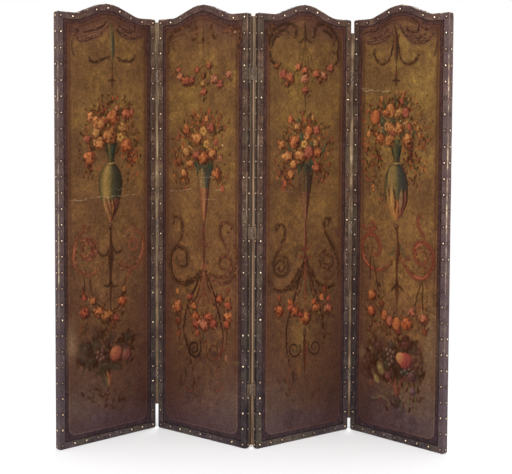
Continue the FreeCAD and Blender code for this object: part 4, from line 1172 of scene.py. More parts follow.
# %% Leaf 1: festoon, fruit and cracks
def first_foot(skin):
    """A loose festoon, the bunch of fruit on dark leaves, and the cracks and the seam across the leaf."""
    festoon_lines = """sepia 0.9 84,276 85,287 84.5,297; 90,277 91,288 94,299; 126,276 124,290 122,300; sepia
    0.8 94,300 103,309 111,311 118,307 123,300"""
    lines(skin, festoon_lines, strength=0.82)
    festoon_leaves = "85,305 5,16 34; 108,314 17,10 60; 85,328 5,8 16; 122,295 5,10 22; 109,328 7,12 30"
    scatter(skin, festoon_leaves, 1.3, SMALL_LEAVES + [WINE], 31)
    festoon_flowers = """bud tan 124.5,288.5 3; bud crimson 84.5,298 3.2; orange 94,301 3.2; flame 122.5,301
    4.4; red 85,313 4.8; crimson 116,318 3.6; orange 99.5,312 5; tan 108.5,315 5.8"""
    flowers(skin, festoon_flowers, 50)
    fruit_leaves = """110,352 27,17 150 2.2; 88,358 11,16 60 2.6; 128,338 8,9 30 2.2; 106,366 15,9 70 2.6;
    104,336 10,8 40 1.5; 107,396 26,16 60 2"""
    scatter(skin, fruit_leaves, 0, [UMBER, LEAF_DARK, (52, 42, 32), (64, 42, 36), UMBER], 41, 0.75)
    broad = """106,366 8 4.5 0.1; 92,362 6.5 3.6 0.6; 118,367 6.5 3.4 -0.5; 86,350 4.4 6.5 0.5; 128,336 5.2 3.4
    -0.4; 97,346 4 5 0.4; 100,372 5 3 0.6"""
    broad_leaves(skin, broad)
    fruit_places = """127,354.5 6.2 108/70/54 86/46/38 54/28/25; 117,353.5 8 140/84/56 112/58/42 62/29/24;
    99,353 102.5,355 98,357.5 101.5,360 104.5,358 103,351 2.4 106/76/60 70/42/35 38/24/23"""
    fruits(skin, fruit_places)
    fruit_lines = """sepia 1.1 101,329 103,338 108,349; sepia 1 112,330 110,340 109,349; sepia 1.3 109,370
    109.5,380 110.5,389"""
    lines(skin, fruit_lines, strength=0.85)
    foot_leaves = """tan 2.8/2.2/1 107.5,371 109,378 110,388; russet 2 112,371 111.5,379 110.5,388; moss 1.4
    103,371 106.5,379 109.5,388; russet 0.8 124,384 129,389 134,386 133,381"""
    lines(skin, foot_leaves, strength=0.82)
    cracks = """1 69,201.5 74,200 78.5,201 87.5,199 95,197.5 103.5,196.5; 0.8 103.5,196.5 109,197.5 115,196
    122.5,196.5 129,194.5 136,195; 0.5 116,188 119,190 123,188.5"""
    crack_lines(skin, cracks)
    seam_shadow(skin, 111, 198.5)




# %% [markdown]
# The inner leaves have lighter, looser work: a pair of open scrolls hangs a drop and a festoon of
# small roses, the bouquet stands in a slim cone vase, and its stem breaks into long ribs that curl
# back on themselves.

# %% The inner leaves' parts
MOUTH_LEAVES = ((30, 42, 32), (44, 52, 36), (36, 30, 20))


def cone_vase(skin, axis, rim, join, tip, half, low_half, body, foot):
    """A slim fluted cone with dark leaves over its mouth; below the join it narrows into the stem,
    with a red-brown line down each side."""
    bowl = ((rim, half, half), (rim + 6, half * 0.88, half * 0.9), ((rim + join) / 2, half * 0.76, half * 0.78),
            (join, low_half, low_half), (join + 6, low_half * 0.86, low_half * 0.86))
    tail = ((join, low_half * 0.96, low_half), ((join * 2 + tip) / 3, low_half * 0.72, low_half * 0.78),
            ((join + 2 * tip) / 3, low_half * 0.5, low_half * 0.5), (tip, 1.0, 1.0))
    vessel(skin, [(y, axis - a, axis + b) for y, a, b in bowl], [(rim - 2, join + 9, body)])
    vessel(skin, [(y, axis - a, axis + b) for y, a, b in tail], [(join - 6, tip + 2, foot)], 0.9)
    for side, colour, wide in ((-1, (104, 56, 38), 0.5), (1, (62, 30, 22), 0.9), (0.15, (136, 98, 64), 0.3)):
        run = ((half * 0.5, rim + 9), (low_half * 0.8, join), (low_half * 0.55, (join + tip) / 2), (0.8, tip))
        stroke(skin, [(axis + side * off, y) for off, y in run], wide, colour, 0.75, ends=(0.3, 0.5))
    for k, share in enumerate(np.linspace(-1, 1, 9)):
        leaf = [(axis + share * half * 1.05, rim - 3 + k % 3),
                (axis + share * half * 0.9, rim + 4 + 3 * ((k * 5) % 3))]
        stroke(skin, leaf, [1.4, 2.2, 0.6], MOUTH_LEAVES[k % 3], 0.85, ends=(0.5, 0.2))


def festoon(skin, table, line, seed):
    """Small roses strung on a sagging line, with short leaves about them."""
    stroke(skin, line, 0.8, SEPIA, 0.5)
    roses = list(enumerate(read_rows(table), seed))
    for number, (kind, (x, y), size) in roses:
        sprinkle(skin, (x, y + 1), (size + 3.2, size + 3.4), 9, 1.15, SMALL_LEAVES, number, 0.75)
    for number, (kind, (x, y), size) in roses:
        bloom(skin, x, y, size, kind, 5, number)


def ribs(skin, table, colour=SEPIA, wide=1.6):
    """Long lines that fall from the stem: a dark line with a warmer one beside it."""
    for places in read_rows(table):
        stroke(skin, places, [wide * 1.5, wide * 1.1, wide * 0.7, wide * 0.5], colour, 0.82, ends=(0.5, 0.3),
               shadow=0.2)
        stroke(skin, np.array(places, float) + (1.3, 0.2), 0.4, (106, 62, 40), 0.5, ends=(0.2, 0.2))
        feather(skin, places, colour, wide, int(places[0][0] * 11))


# %% [markdown]
# On the left inner leaf the scrolls are thinner and browner, and the stem splits into ribs. The
# ribs go down before the festoon, because the roses hang over them.

# %% Leaf 2: its head
def second_head(skin):
    """Open scrolls that hang a drop and a festoon of small roses."""
    head_scrolls = """brown 1.3 168.5,57 169,44 170,38 180.5,28.5 188,26 192,28 190,32; brown 1.1 195,21.5
    196,32 195.5,37 192,39.5 190.5,37; 210.5,22 211.5,34 214,38.5 217,38 216.5,34.5; brown 1.4 223,34 227,29
    233,27 239,30 240.5,36 238,45 240,54; russet 1.2 225.5,33.5 229,31 234,32 233,35.5 229.5,35"""
    lines(skin, head_scrolls, leafy=True, shadow=0.15, strength=0.8)
    head_drop = """brown 0.9 203,16 203,32 203,46 203,57; brown 0.8 196.5,41 199,43.5 202,41.5; 210.5,41
    207.5,43.5 204.5,41.5; brown 0.3 203,57 199,65 197,70; 203,57 201,65 200,78; 203,57 203.5,65 203.5,80;
    203,57 205,65 206,76; 203,57 207,65 209,68"""
    lines(skin, head_drop, strength=0.75)
    head_touches = "234.5,32 1.6 0.9 170/134/98 0.2 0.7; 203,40 1.6 3.2 sepia"
    dabs(skin, head_touches)
    head_spiral = "176,47 5 6 1.2 brown 0.8 1 1 0.4 0.5"
    roundels(skin, head_spiral)
    head_tails = "brown 1.2 171,40 177,36 184,34 188,37; 166,50 167.5,62 172,72; 240,50 238,62 233,72"
    lines(skin, head_tails, strength=0.75)
    roses = """red 178.5,69.5 2.6; pink 180,76.5 3.6; red 185.5,81.5 4.2; crimson 191,81 3.8; red 196.5,70 3.2;
    red 208.5,66 3; pink 214,78.5 4; crimson 219.5,84 3.8; pink 228,74.5 3.2; tan 203,83.5 2.8; red 203.5,91.5
    3.4; rust 203,76 2.6"""
    rose_line = "172,66 182,78 192,80 199,70 203,66 208,68 216,80 224,79 232,68"
    festoon(skin, roses, rose_line, 51)
    drop_tip = "203.5,100 1.2 2.6 sepia"
    dabs(skin, drop_tip)


# %% Leaf 2: bouquet and cone vase
def second_vase(skin):
    """A bouquet with hanging sprays in a slim vase."""
    bouquet_leaves = "200,140 24,26 120; 182,168 11,24 60; 220,158 10,32 60; 205,117 16,8 34; 178,150 7,20 26"
    scatter(skin, bouquet_leaves, 1.25, SMALL_LEAVES + RED_TOUCHES[:3], 61)
    bouquet_sprays = "200,130 22 9 71; 216,134 20 6 72; 186,140 14 5 73"
    sprays(skin, bouquet_sprays)
    hanging_sprays = "186,166 22 6 74; 218,166 24 6 75"
    sprays(skin, hanging_sprays, up=False)
    tucked = """203,148 3.4 5 0.3; 190,144 2.6 5 0.5; 197,163 3.4 4 0.2; 210,162 3.4 4.6 -0.3; 214,134 1.8 4.4
    -0.5; 192,132 1.8 4.2 0.6"""
    tucked_leaves(skin, tucked, LEAF_DARK, (78, 80, 48))
    cone_vase(skin, 203.6, 164.8, 188, 222, 8.4, 5.2, [(0, (70, 52, 32)), (0.22, (116, 90, 54)),
                                                       (0.45, (94, 76, 47)), (0.68, (50, 53, 42)),
                                                       (0.88, (46, 46, 38)), (1, (52, 38, 28))],
              [(0, (104, 58, 38)), (0.3, (126, 82, 50)), (0.5, (136, 96, 60)), (0.7, (92, 52, 36)),
               (1, (62, 34, 25))])
    bouquet = """bud orange 206,118.5 3; bud rust 219.5,117 3.2; flame 186.5,129.5 4.2; crimson 210.5,128 4.2;
    ring yellow 203,131 4.2; orange 197,139 5.8; ring yellow 206,144 3.8; tan 187,151.5 5.4; crimson 196.5,155.5
    4.6; orange 211.5,153.5 5.2; flame 203.5,157.5 5.8; rust 178.5,161.5 4; orange 190,164.5 4; orange 184,173
    3.4; flame 216.5,174 5; bud rust 178,137.5 3.4; bud pink 220,158.5 3.2; bud crimson 215.5,142 3.2; bud red
    222,189 3.2"""
    flowers(skin, bouquet, 90)
    pale_touch = "222,145 0.9 0.9 212/172/130 0 0.9"
    dabs(skin, pale_touch)


# %% Leaf 2: stem, ribs and scrolls
def second_scrolls(skin):
    """The stem breaks into long ribs between two leafy scrolls."""
    stem = "203.5,222 203,230 203.5,243 203.5,271"
    stroke(skin, stem, [1.4, 3.0, 2.2, 2.6, 2.0], (72, 36, 25), 0.85, ends=(0.8, 0.8), shadow=0.3)
    stem_hooks = """russet 0.8/2.2/0.8 195,241 199,243.5 203.5,242 207,243.5 210.5,240.5; russet 1.3 199,247
    203.5,245; 207.5,247 203.5,245"""
    lines(skin, stem_hooks)
    stem_touches = "203,230 2.2 1.6 88/46/34; 203.5,267 2.6 4 96/50/36"
    dabs(skin, stem_touches)
    dark_ribs = """201.5,271 194.5,289 189,300.5 183.5,327 192,366.5 194,380; 205,271 213,292 216.5,305
    222.5,333 220.5,358 217,370.5"""
    ribs(skin, dark_ribs, (42, 22, 12), 1.4)
    warm_ribs = "202,272 200,283 196.5,296 192,303; 205,272 206.5,282 210.5,294 212.5,302"
    ribs(skin, warm_ribs, (70, 30, 18), 1.3)
    rib_buds = """russet 1.6/2.6/1 203.5,272 203.5,290 203.5,308; russet 1 198,302 200,297 203,291; 209,302
    207,297 203.5,291"""
    lines(skin, rib_buds)
    rib_drops = "198,302 0.9 2.2 garnet 0.3; 209,302 0.9 2.2 garnet -0.3"
    dabs(skin, rib_drops)
    scrolls = """bark 2.1 201,270 195.5,276 182.5,282.5 175,279.5 171.5,269.5 174,249.5 179,247 185,251
    186,264.5 181.5,267 176,259 178.5,256; bark 2 200,273 193,280 186,284 178,284.5; nut 1.7 177,247 182.5,232
    180.5,218.5 176.5,216 172.5,219.5 173,225; russet 1.9 205.5,270 216.5,277.5 224,277.5 230.5,273 229.5,258
    224,256 219,259.5 221,269.5 225.5,268.5; russet 1.4 230.5,256 227,248.5 220,234 220.5,226 226,222.5
    231.5,226.5 230.5,232 226.5,233; russet 1.5 207,274 214,282 222,284.5 230,281 236,272; russet 1.2 233,244
    236.5,252 236.5,262 234,272"""
    lines(skin, scrolls, leafy=True, shadow=0.25, strength=0.8)
    scroll_lights = "tan 1 173,268 172.5,258 175.5,251"
    lines(skin, scroll_lights, strength=0.75)


# %% Leaf 2: festoon, foot and cracks
def second_foot(skin):
    """A loose festoon, the spirals at its foot that fade into the ground, and the cracks and the seam."""
    festoon_lines = """sepia 0.9 177,284 178,320 178.5,336 180,350; 228,284 227.5,300 228,318 226.5,336
    225.5,356; sepia 0.8 190,316 198,322 206,324 214,321 218.5,304; 188,300 189,311 193,318"""
    lines(skin, festoon_lines, strength=0.82)
    festoon_leaves = """178,310 5,24 40; 203,321 14,10 60; 227,312 5,20 40; 217,300 5,10 20; 189,303 4,8 16;
    203,337 5,7 14"""
    scatter(skin, festoon_leaves, 1.25, SMALL_LEAVES + [WINE], 81)
    festoon_flowers = """bud yellow 177.5,291 3; orange 177.5,306 4.8; rust 178,320.5 3.2; bud rust 178.5,333.5
    3.2; orange 193.5,306.5 3; crimson 189.5,297 2.6; flame 196,317 4.2; red 208.5,318 4.4; crimson 195.5,324.5
    3.6; crimson 213,324 4.4; pink 203.5,324.5 5.6; bud red 197,333 2.8; flame 219,299.5 3.8; tan 227.5,299.5
    2.8; red 228,306 3.4; orange 228,317.5 4; red 226.5,325 3.4; bud rust 227.5,290 2.4"""
    flowers(skin, festoon_flowers, 50)
    foot_bud = "203,336.5 1.3 3.6 46/42/28"
    dabs(skin, foot_bud)
    foot_spirals = """194,348.5 7 10.4 1.5 36/19/11 1.7 0.6 -1 0.2 0.95; 212.5,352 7 11.4 1.2 60/32/21 1.6 2.6 1
    0.22 0.9"""
    roundels(skin, foot_spirals)
    foot_lines = """sepia 1.5 184.5,334 187,344 191,350 195,357.5 200,352; garnet 1.5 222.5,340 221,352
    215.5,359 209,357; brick 1 184,386 188.5,391 193,388 191.5,383.5 188,385; 213,386 217,391 221.5,388
    220,383.5 217,385; sepia 1 194,378 193,384 190,388; brick 1 217.5,366 218.5,376 218,386; sage 1.4 233,362
    237,363.5 240.5,362"""
    lines(skin, foot_lines, strength=0.82)
    foot_touch = "225.5,358 1.6 3 142/88/66 0 0.6"
    dabs(skin, foot_touch)
    foot_leaves = "203,384 30,14 40"
    scatter(skin, foot_leaves, 2.2, [(70, 46, 38), UMBER, (60, 54, 42)], 91, 0.4)
    cracks = """1 169,190.5 173,191 179,190.5 183,191 186.5,189.5 192,188.5; 0.7 195,177.5 203,178.5 210,177
    216,178; 0.7 214.5,190.5 218,190 221,189.5; 0.7 205,199 210.5,200 217.5,199.5"""
    crack_lines(skin, cracks)
    seam_shadow(skin, 204, 192)


# %% [markdown]
# The right inner leaf carries the same design turned over. It was painted by hand, so no line of it
# is an exact mirror of its neighbour's, and its places are written out again.

# %% Leaf 3: its head
def third_head(skin):
    """The same as on leaf 2, turned over, with roses of its own."""
    head_scrolls = """sepia 1.9 270.5,52 269.5,43 272,34.5 291,24.5 295.5,27.5 295.5,37.5 292.5,37; 312.5,37.5
    315.5,36 315.5,30 318.5,25.5 325,24.5 331.5,29.5 339,44 338,51 334.5,54 332,51.5; sepia 1.5 272,48 274,40
    286,31 290,34; 322,30 328,33 333,39 334.5,46; sepia 1.2 270,52 271,60 276,66; 337.5,51 338.5,60 334,66;
    sepia 1.4 270.5,36 267.5,32 270,28; 274,30 272,26 276,24"""
    lines(skin, head_scrolls, leafy=True, shadow=0.2)
    head_drop = """sepia 1/2.8/1.4 305.5,19 305.5,33 305.5,46; sepia 1.4 298,40.5 300.5,42.5 303,40 305,36;
    313.5,40.5 311,42.5 308,40 306,36; sepia 0.35 305.5,44 300.5,56 298,66; 305.5,44 303.5,56 302,70; 305.5,44
    305.5,56 305.5,68; 305.5,44 308,56 309,70; 305.5,44 311,56 314,67"""
    lines(skin, head_drop, strength=0.8)
    head_touches = "305.5,38.5 1.8 3.4 52/38/26"
    dabs(skin, head_touches)
    roses = """rust 277,66 2.8; crimson 284.5,74 4.4; red 290.5,79 4.6; rust 287.5,84.5 2.6; red 299,67 3.2; red
    305.5,70.5 3.2; pink 305.5,79 4; crimson 306,90.5 3.4; red 317,74 3.8; pink 324,76 4; crimson 331,68 3.4;
    rust 320.5,80.5 2.6"""
    rose_line = "271,60 279,72 290,79 298,70 305.5,66 313,70 321,77 330,71 338,60"
    festoon(skin, roses, rose_line, 151)
    drop_line = "305.5,94 306,103 305.5,111"
    stroke(skin, drop_line, 0.9, SEPIA, 0.7)
    drop_tip = "305.5,96 1 2 sepia"
    dabs(skin, drop_tip)


# %% Leaf 3: bouquet and cone vase
def third_vase(skin):
    """A bouquet with hanging sprays in a slim vase."""
    bouquet_leaves = "303,144 24,25 120; 285,168 11,22 60; 323,160 10,30 66; 305,118 15,8 34; 331,150 6,16 20"
    scatter(skin, bouquet_leaves, 1.25, SMALL_LEAVES + RED_TOUCHES[:3], 161)
    bouquet_sprays = "300,134 21 8 171; 314,132 19 6 172; 288,146 13 5 173"
    sprays(skin, bouquet_sprays)
    hanging_sprays = "288,168 24 6 174; 322,158 30 7 175"
    sprays(skin, hanging_sprays, up=False)
    tucked = """302,137 2.8 4.6 0.3; 312,146 2.8 4.6 -0.4; 301,163 3.6 3.4 0.1; 311,163 3.6 3.4 -0.1; 299,120.5
    2 2.6 0.4; 324,150 2 4.6 -0.5; 290,150 2.2 4.4 0.6"""
    tucked_leaves(skin, tucked, (40, 46, 32), (80, 84, 50))
    cone_vase(skin, 305.8, 164, 192, 220.5, 8.8, 4.9, [(0, (56, 41, 26)), (0.25, (83, 61, 38)), (0.5, (60, 46, 30)),
                                                       (0.75, (43, 34, 26)), (1, (38, 26, 18))],
              [(0, (80, 52, 33)), (0.3, (106, 77, 47)), (0.5, (78, 42, 30)), (0.75, (62, 29, 22)),
               (1, (45, 29, 22))])
    bouquet = """bud flame 290.5,119.5 3.8; bud rust 303,113 2.4; tan 298,127 4; bud tan 313.5,117.5 2.8;
    crimson 317,130.5 3.8; flame 309.5,130.5 4.4; flame 295,142 5.4; orange 308,137.5 3.8; ring yellow 304.5,144
    3.8; tan 316.5,144 3.8; orange 282,145 3.6; orange 288.5,156.5 5.4; orange 300,156.5 6.2; crimson 309.5,152
    5.8; flame 318,153 4; orange 294,164.5 3.8; red 317,167.5 4.4; orange 291,175 4; bud red 285.5,183.5 3; bud
    rust 279.5,172.5 3; bud rust 322.5,180 2.8; bud rust 329,164.5 2.8"""
    flowers(skin, bouquet, 90)


# %% Leaf 3: stem, ribs and scrolls
def third_scrolls(skin):
    """The stem breaks into long ribs between two leafy scrolls."""
    stem = "306,220 306,240 305.5,252 305.5,262"
    stroke(skin, stem, [1.3, 1.8, 3.0, 1.8, 2.2], (72, 34, 24), 0.85, ends=(0.8, 0.8), shadow=0.3)
    stem_hooks = """tan 0.4 305,222 305,240 305,256; garnet 1.3 301.5,246 303.5,249.5 305.5,246; 310,246
    308,249.5 306,246; garnet 1.1 299.5,254 302,258 305.5,254; 312,254 309.5,258 306,254"""
    lines(skin, stem_hooks)
    dark_ribs = "305,257 297,290 286.5,332 288,356 294.5,380; 307,257 312.5,282 317,295 324.5,334 324,346"
    ribs(skin, dark_ribs, (42, 22, 13), 1.5)
    warm_ribs = "305.5,258 304,270 301.5,284 298,296; 306,258 308,272 311,286 313.5,298"
    ribs(skin, warm_ribs, (68, 30, 18), 1.4)
    rib_buds = """russet 1.8/2.8/1 305.5,262 305.5,284 305.5,312; moss 1.4 303.5,276 302,290 299.5,300; 308,276
    309.5,290 312.5,300"""
    lines(skin, rib_buds)
    scrolls = """bark 1.9 304,262 290.5,285 281.5,291 274,288.5 270.5,281; 303.5,266 299,278 293,287 285,292.5;
    bark 1.7 307.5,264 320,285 329,288 336,284; nut 1.6 277,231 280,225.5 284.5,228 284.5,236 281,246 274,261
    274.5,269; nut 1.3 278,231.5 277,227 280.5,224.5; nut 1.6 331,229 328.5,224.5 331,218.5 326.5,218.5
    324,223.5 325.5,231.5 334.5,250.5 338,262 338.5,276"""
    lines(skin, scrolls, leafy=True, shadow=0.25, strength=0.92)
    spirals = """281,267.5 9 12 1.6 52/30/17 1.9 2 -1 0.2; 327.5,260.5 9.4 11 1.6 58/34/20 1.9 1.2 1 0.2;
    328,274 6.8 5.6 1.4 58/30/18 0.9 4.2 1 0.4 0.6"""
    roundels(skin, spirals)


# %% Leaf 3: festoon, foot and cracks
def third_foot(skin):
    """A loose festoon, the spirals at its foot that fade into the ground, and the seam and a faint crack."""
    festoon_lines = """sepia 0.9 279,296 279.5,308 281,320; 290,296 291,304 296,311 305,314 314,308 321,298
    324,287; 326,288 328.5,308 329,322"""
    lines(skin, festoon_lines, strength=0.82)
    festoon_leaves = "280,309 6,13 30; 303,312 20,9 70; 326,300 6,22 46; 306,322 8,8 24; 328,284 6,8 14"
    scatter(skin, festoon_leaves, 1.25, SMALL_LEAVES + [WINE], 181)
    festoon_flowers = """bud rust 279.5,298 3; flame 279.5,311 4.2; flame 291,303 3; red 291,308 3.4; flame
    296,311.5 4.2; orange 305.5,317 5.8; crimson 301,314.5 3; orange 316.5,307 4.2; flame 314,301.5 2.6; bud
    orange 322,297 3.4; pink 328.5,308 4.4; bud crimson 328.5,298 3; bud rust 324.5,288.5 3"""
    flowers(skin, festoon_flowers, 50)
    foot_stem = """smoke 0.8/3.6/1 305,327 305,334 305,340; sepia 2.6/2.8/1.4 304.5,334 305,352 305,376; garnet
    1 306.5,338 306.5,352 306,370"""
    lines(skin, foot_stem)
    foot_spirals = """294.5,349.5 6.6 8.8 1.2 36/20/12 1.6 0.5 -1 0.2 0.95; 315,347 6.8 8.8 1.2 40/23/14 1.6 2.6
    1 0.2 0.95"""
    roundels(skin, foot_spirals)
    foot_lines = """russet 1.3 301,349 305,354; 309,347 305,354; 287.5,362 290.5,376 291,386 292.5,392 296,391
    295.5,386 292,386; russet 1 286,372 288,382 290,388; moss 1.1 298,344 296,352 292,352"""
    lines(skin, foot_lines, strength=0.7)
    foot_leaves = "304,388 28,16 40"
    scatter(skin, foot_leaves, 2.2, [(64, 42, 32), UMBER, (56, 46, 34)], 191, 0.4)
    seam_shadow(skin, 306, 193)
    cracks = "0.35 282,192 288,191.5 294,192"
    crack_lines(skin, cracks)


# %% [markdown]
# The outer right leaf turns the first leaf's design over. Its reds are stronger and its fruit has
# kept its colours, so its paints are a step brighter.

# %% Leaf 4, the outer right: its head
def fourth_head(skin):
    """The same as on leaf 1, turned over."""
    left_swags = """362.5,41 369,42 390,33.5 394.5,27; 368,35 374.5,36.5 382,33.5 388,28.5; 362,34 368,30 375,29
    380,25"""
    right_swags = """398.5,23 402.5,30.5 415.5,41 430,37.5 433,32; 405,26 410,33 418,36.5 426,34; 411.5,18
    418.5,22 418,29 410,30.5 404.5,25; 421,26 427,28 432,27"""
    hooks = """375.5,48.5 374.5,55 382.5,64 388,59 391.5,50 394.5,32; 417.5,51 417.5,57 407.5,64 402.5,61.5
    399.5,53 397,33"""
    outer_head(skin, 395.8, left_swags, right_swags, hooks, (66, (44, 26, 18), (66, 38, 24), (116, 78, 50)),
               (73, 80.6, 89))
    hook_lights = "128/92/56 0.9 382,62 384,62.5 388.5,56 391.5,46; 410,62.5 406.5,62.5 402.5,58 399.5,48"
    lines(skin, hook_lights, strength=0.6)
    swag_tails = """smoke 1.6 437,40 436,50 433,58; smoke 1.8 361,44 361.5,54 360,66; smoke 1.4 358,52 362,60
    360,70"""
    lines(skin, swag_tails, strength=0.75)


# %% Leaf 4: bouquet and urn
def fourth_urn(skin):
    """A bouquet with hanging sprays in a green urn on a petal cup."""
    bouquet_leaves = """395,120 27,22 120; 372,156 11,34 100; 415,156 13,34 110; 398,100 20,9 50; 382,196 14,16
    14; 425,130 9,22 40; 364,120 7,26 34"""
    scatter(skin, bouquet_leaves, 1.3, SMALL_LEAVES + RED_TOUCHES, 211)
    bouquet_sprays = "393,114 20 8 221; 404,112 19 7 222; 376,118 17 5 223"
    sprays(skin, bouquet_sprays)
    hanging_sprays = "378,144 34 8 224; 411,146 34 8 225"
    sprays(skin, hanging_sprays, up=False)
    tucked = """382,121 3 5 0.4; 392,121 3.4 4 0; 402,134 3.2 4.6 -0.3; 384,132 2.6 4.4 0.4; 397,143 4.4 3.6 0;
    413,134 1.8 4.4 -0.6; 406,104 1.6 4.4 -0.4; 395,100 1.5 5.2 0.1; 384,104 1.5 4.6 0.4"""
    tucked_leaves(skin, tucked, (44, 44, 30), (86, 86, 50))
    berries = "379,125 382,128 385,126 381,131 387,123 400,121 404,123 0.6 0.6 196/178/140 0 0.7"
    dabs(skin, berries)
    urn(skin, 396, (146, 162), [(163.5, 3.4, 3.4), (167, 6.8, 6.6), (173, 10, 9.8), (184, 11.8, 11.8),
                                (194, 11.6, 11.2), (202, 10.4, 10)], 226.5,
        [(0, (50, 46, 28)), (0.14, (96, 76, 44)), (0.32, (112, 88, 50)), (0.5, (90, 78, 46)), (0.62, (58, 56, 42)),
         (0.8, (44, 44, 38)), (1, (46, 34, 26))])
    petal_cup(skin, 396, [(0.02, 197, 0.0, 214, 4.4, (136, 80, 42)), (0.9, 188, 0.5, 212, 4.0, (112, 62, 44)),
                          (-0.92, 186, -0.5, 210, 3.8, (118, 84, 46)), (0.5, 187, 0.3, 212, 4.4, (112, 84, 56)),
                          (-0.48, 186, -0.3, 212, 5.0, (142, 102, 56))],
              [(200, 10.6, 10.2), (207, 8.6, 8.6), (214, 6, 6), (219, 1.6, 1.6)],
              [(0, (112, 74, 42)), (0.3, (140, 94, 50)), (0.55, (130, 82, 46)), (0.8, (106, 56, 40)),
               (1, (66, 36, 28))])
    urn_light = "391.5,165 389,173 388.5,184"
    stroke(skin, urn_light, [0.4, 1.2, 0.4], (142, 114, 68), 0.6)
    bouquet = """bud orange 381.5,98.5 2.8; bud crimson 401.5,101 2.8; bud flame 375,117 7.2; bud orange
    390,110.5 7; flame 386.5,113 3.2; tan 399,113 5; bud crimson 405.5,112.5 4.8; orange 389.5,127.5 4.8; orange
    398.5,129 5.2; crimson 391.5,134.5 3.4; bud crimson 409,126.5 3.6; flame 380.5,138.5 4.6; orange 389,140
    5.2; crimson 409.5,146 3.8; orange 407,140.5 6.2; bud tan 417.5,128.5 2.6; bud tan 419,134.5 2.4; bud orange
    368.5,134 3.4; bud rust 366,150 2.6; bud rust 372,164 2.6; bud rust 418,160 2.6; bud rust 424,144 2.4"""
    flowers(skin, bouquet, 90)


# %% Leaf 4: stem and scrolls
def fourth_scrolls(skin):
    """The spindle-shaped stem, its hooks and the red scrolls on either side."""
    stem = "396.5,229 397.5,253 396.5,266 396.5,300 396,314"
    stroke(skin, stem, [2.0, 2.4, 5.2, 2.0, 1.6, 4.2, 2.0, 1.4], (62, 31, 17), 0.88, ends=(0.8, 0.3), shadow=0.35)
    stem_hooks = """tan 0.4 396,232 396,250 395.5,262; sepia 1.6 390.5,291.5 392.5,288.5 396,284 396.5,279;
    403,291.5 401,288.5 397,284 396.5,279; moss 1.8 399,243 401,249 405.5,257.5 408.5,256 408.5,252.5; 394.5,244
    391.5,254 388.5,253.5 386.5,250"""
    lines(skin, stem_hooks, shadow=0.25)
    scrolls = """ruby 2.4 367.5,226 373,221.5 374.5,226 365.5,235.5 362.5,240.5 367.5,265 378,270.5 389,265.5
    394,258; ruby 2 363.5,238 370.5,234.5 376,237 379.5,249 377.5,254.5 374,254.5 371.5,251 373,247.5; ruby 1.2
    366,232 371,228.5 376.5,228.5; ruby 1.1 361,224 366,229.5; ruby 2.6 399.5,256 402,262.5 417.5,279 424,279
    431.5,249.5 421,242 415.5,244.5 417,262.5 422,264.5 426,262.5 425,253 421.5,251.5 418.5,254; ruby 1.3
    425.5,241 422.5,234.5 417.5,222 418.5,217 421.5,216 422,219; ruby 1.2 428,274 432.5,268.5 435,260; ruby 1.1
    404,262 407,259 410.5,259.5"""
    lines(skin, scrolls, leafy=True, shadow=0.2, strength=0.95)
    scroll_lights = """bright 1 362.5,252 365,260 369.5,265.5 376,269; 412,274.5 418,278 424,277.5 429,272.5;
    bright 0.9 414.5,250 418,245 423,244.5"""
    lines(skin, scroll_lights, strength=0.82)
    scroll_touches = "420,248 372,245 376,240 424,268 1.6 2.4 garnet 0.6 0.6"
    dabs(skin, scroll_touches)


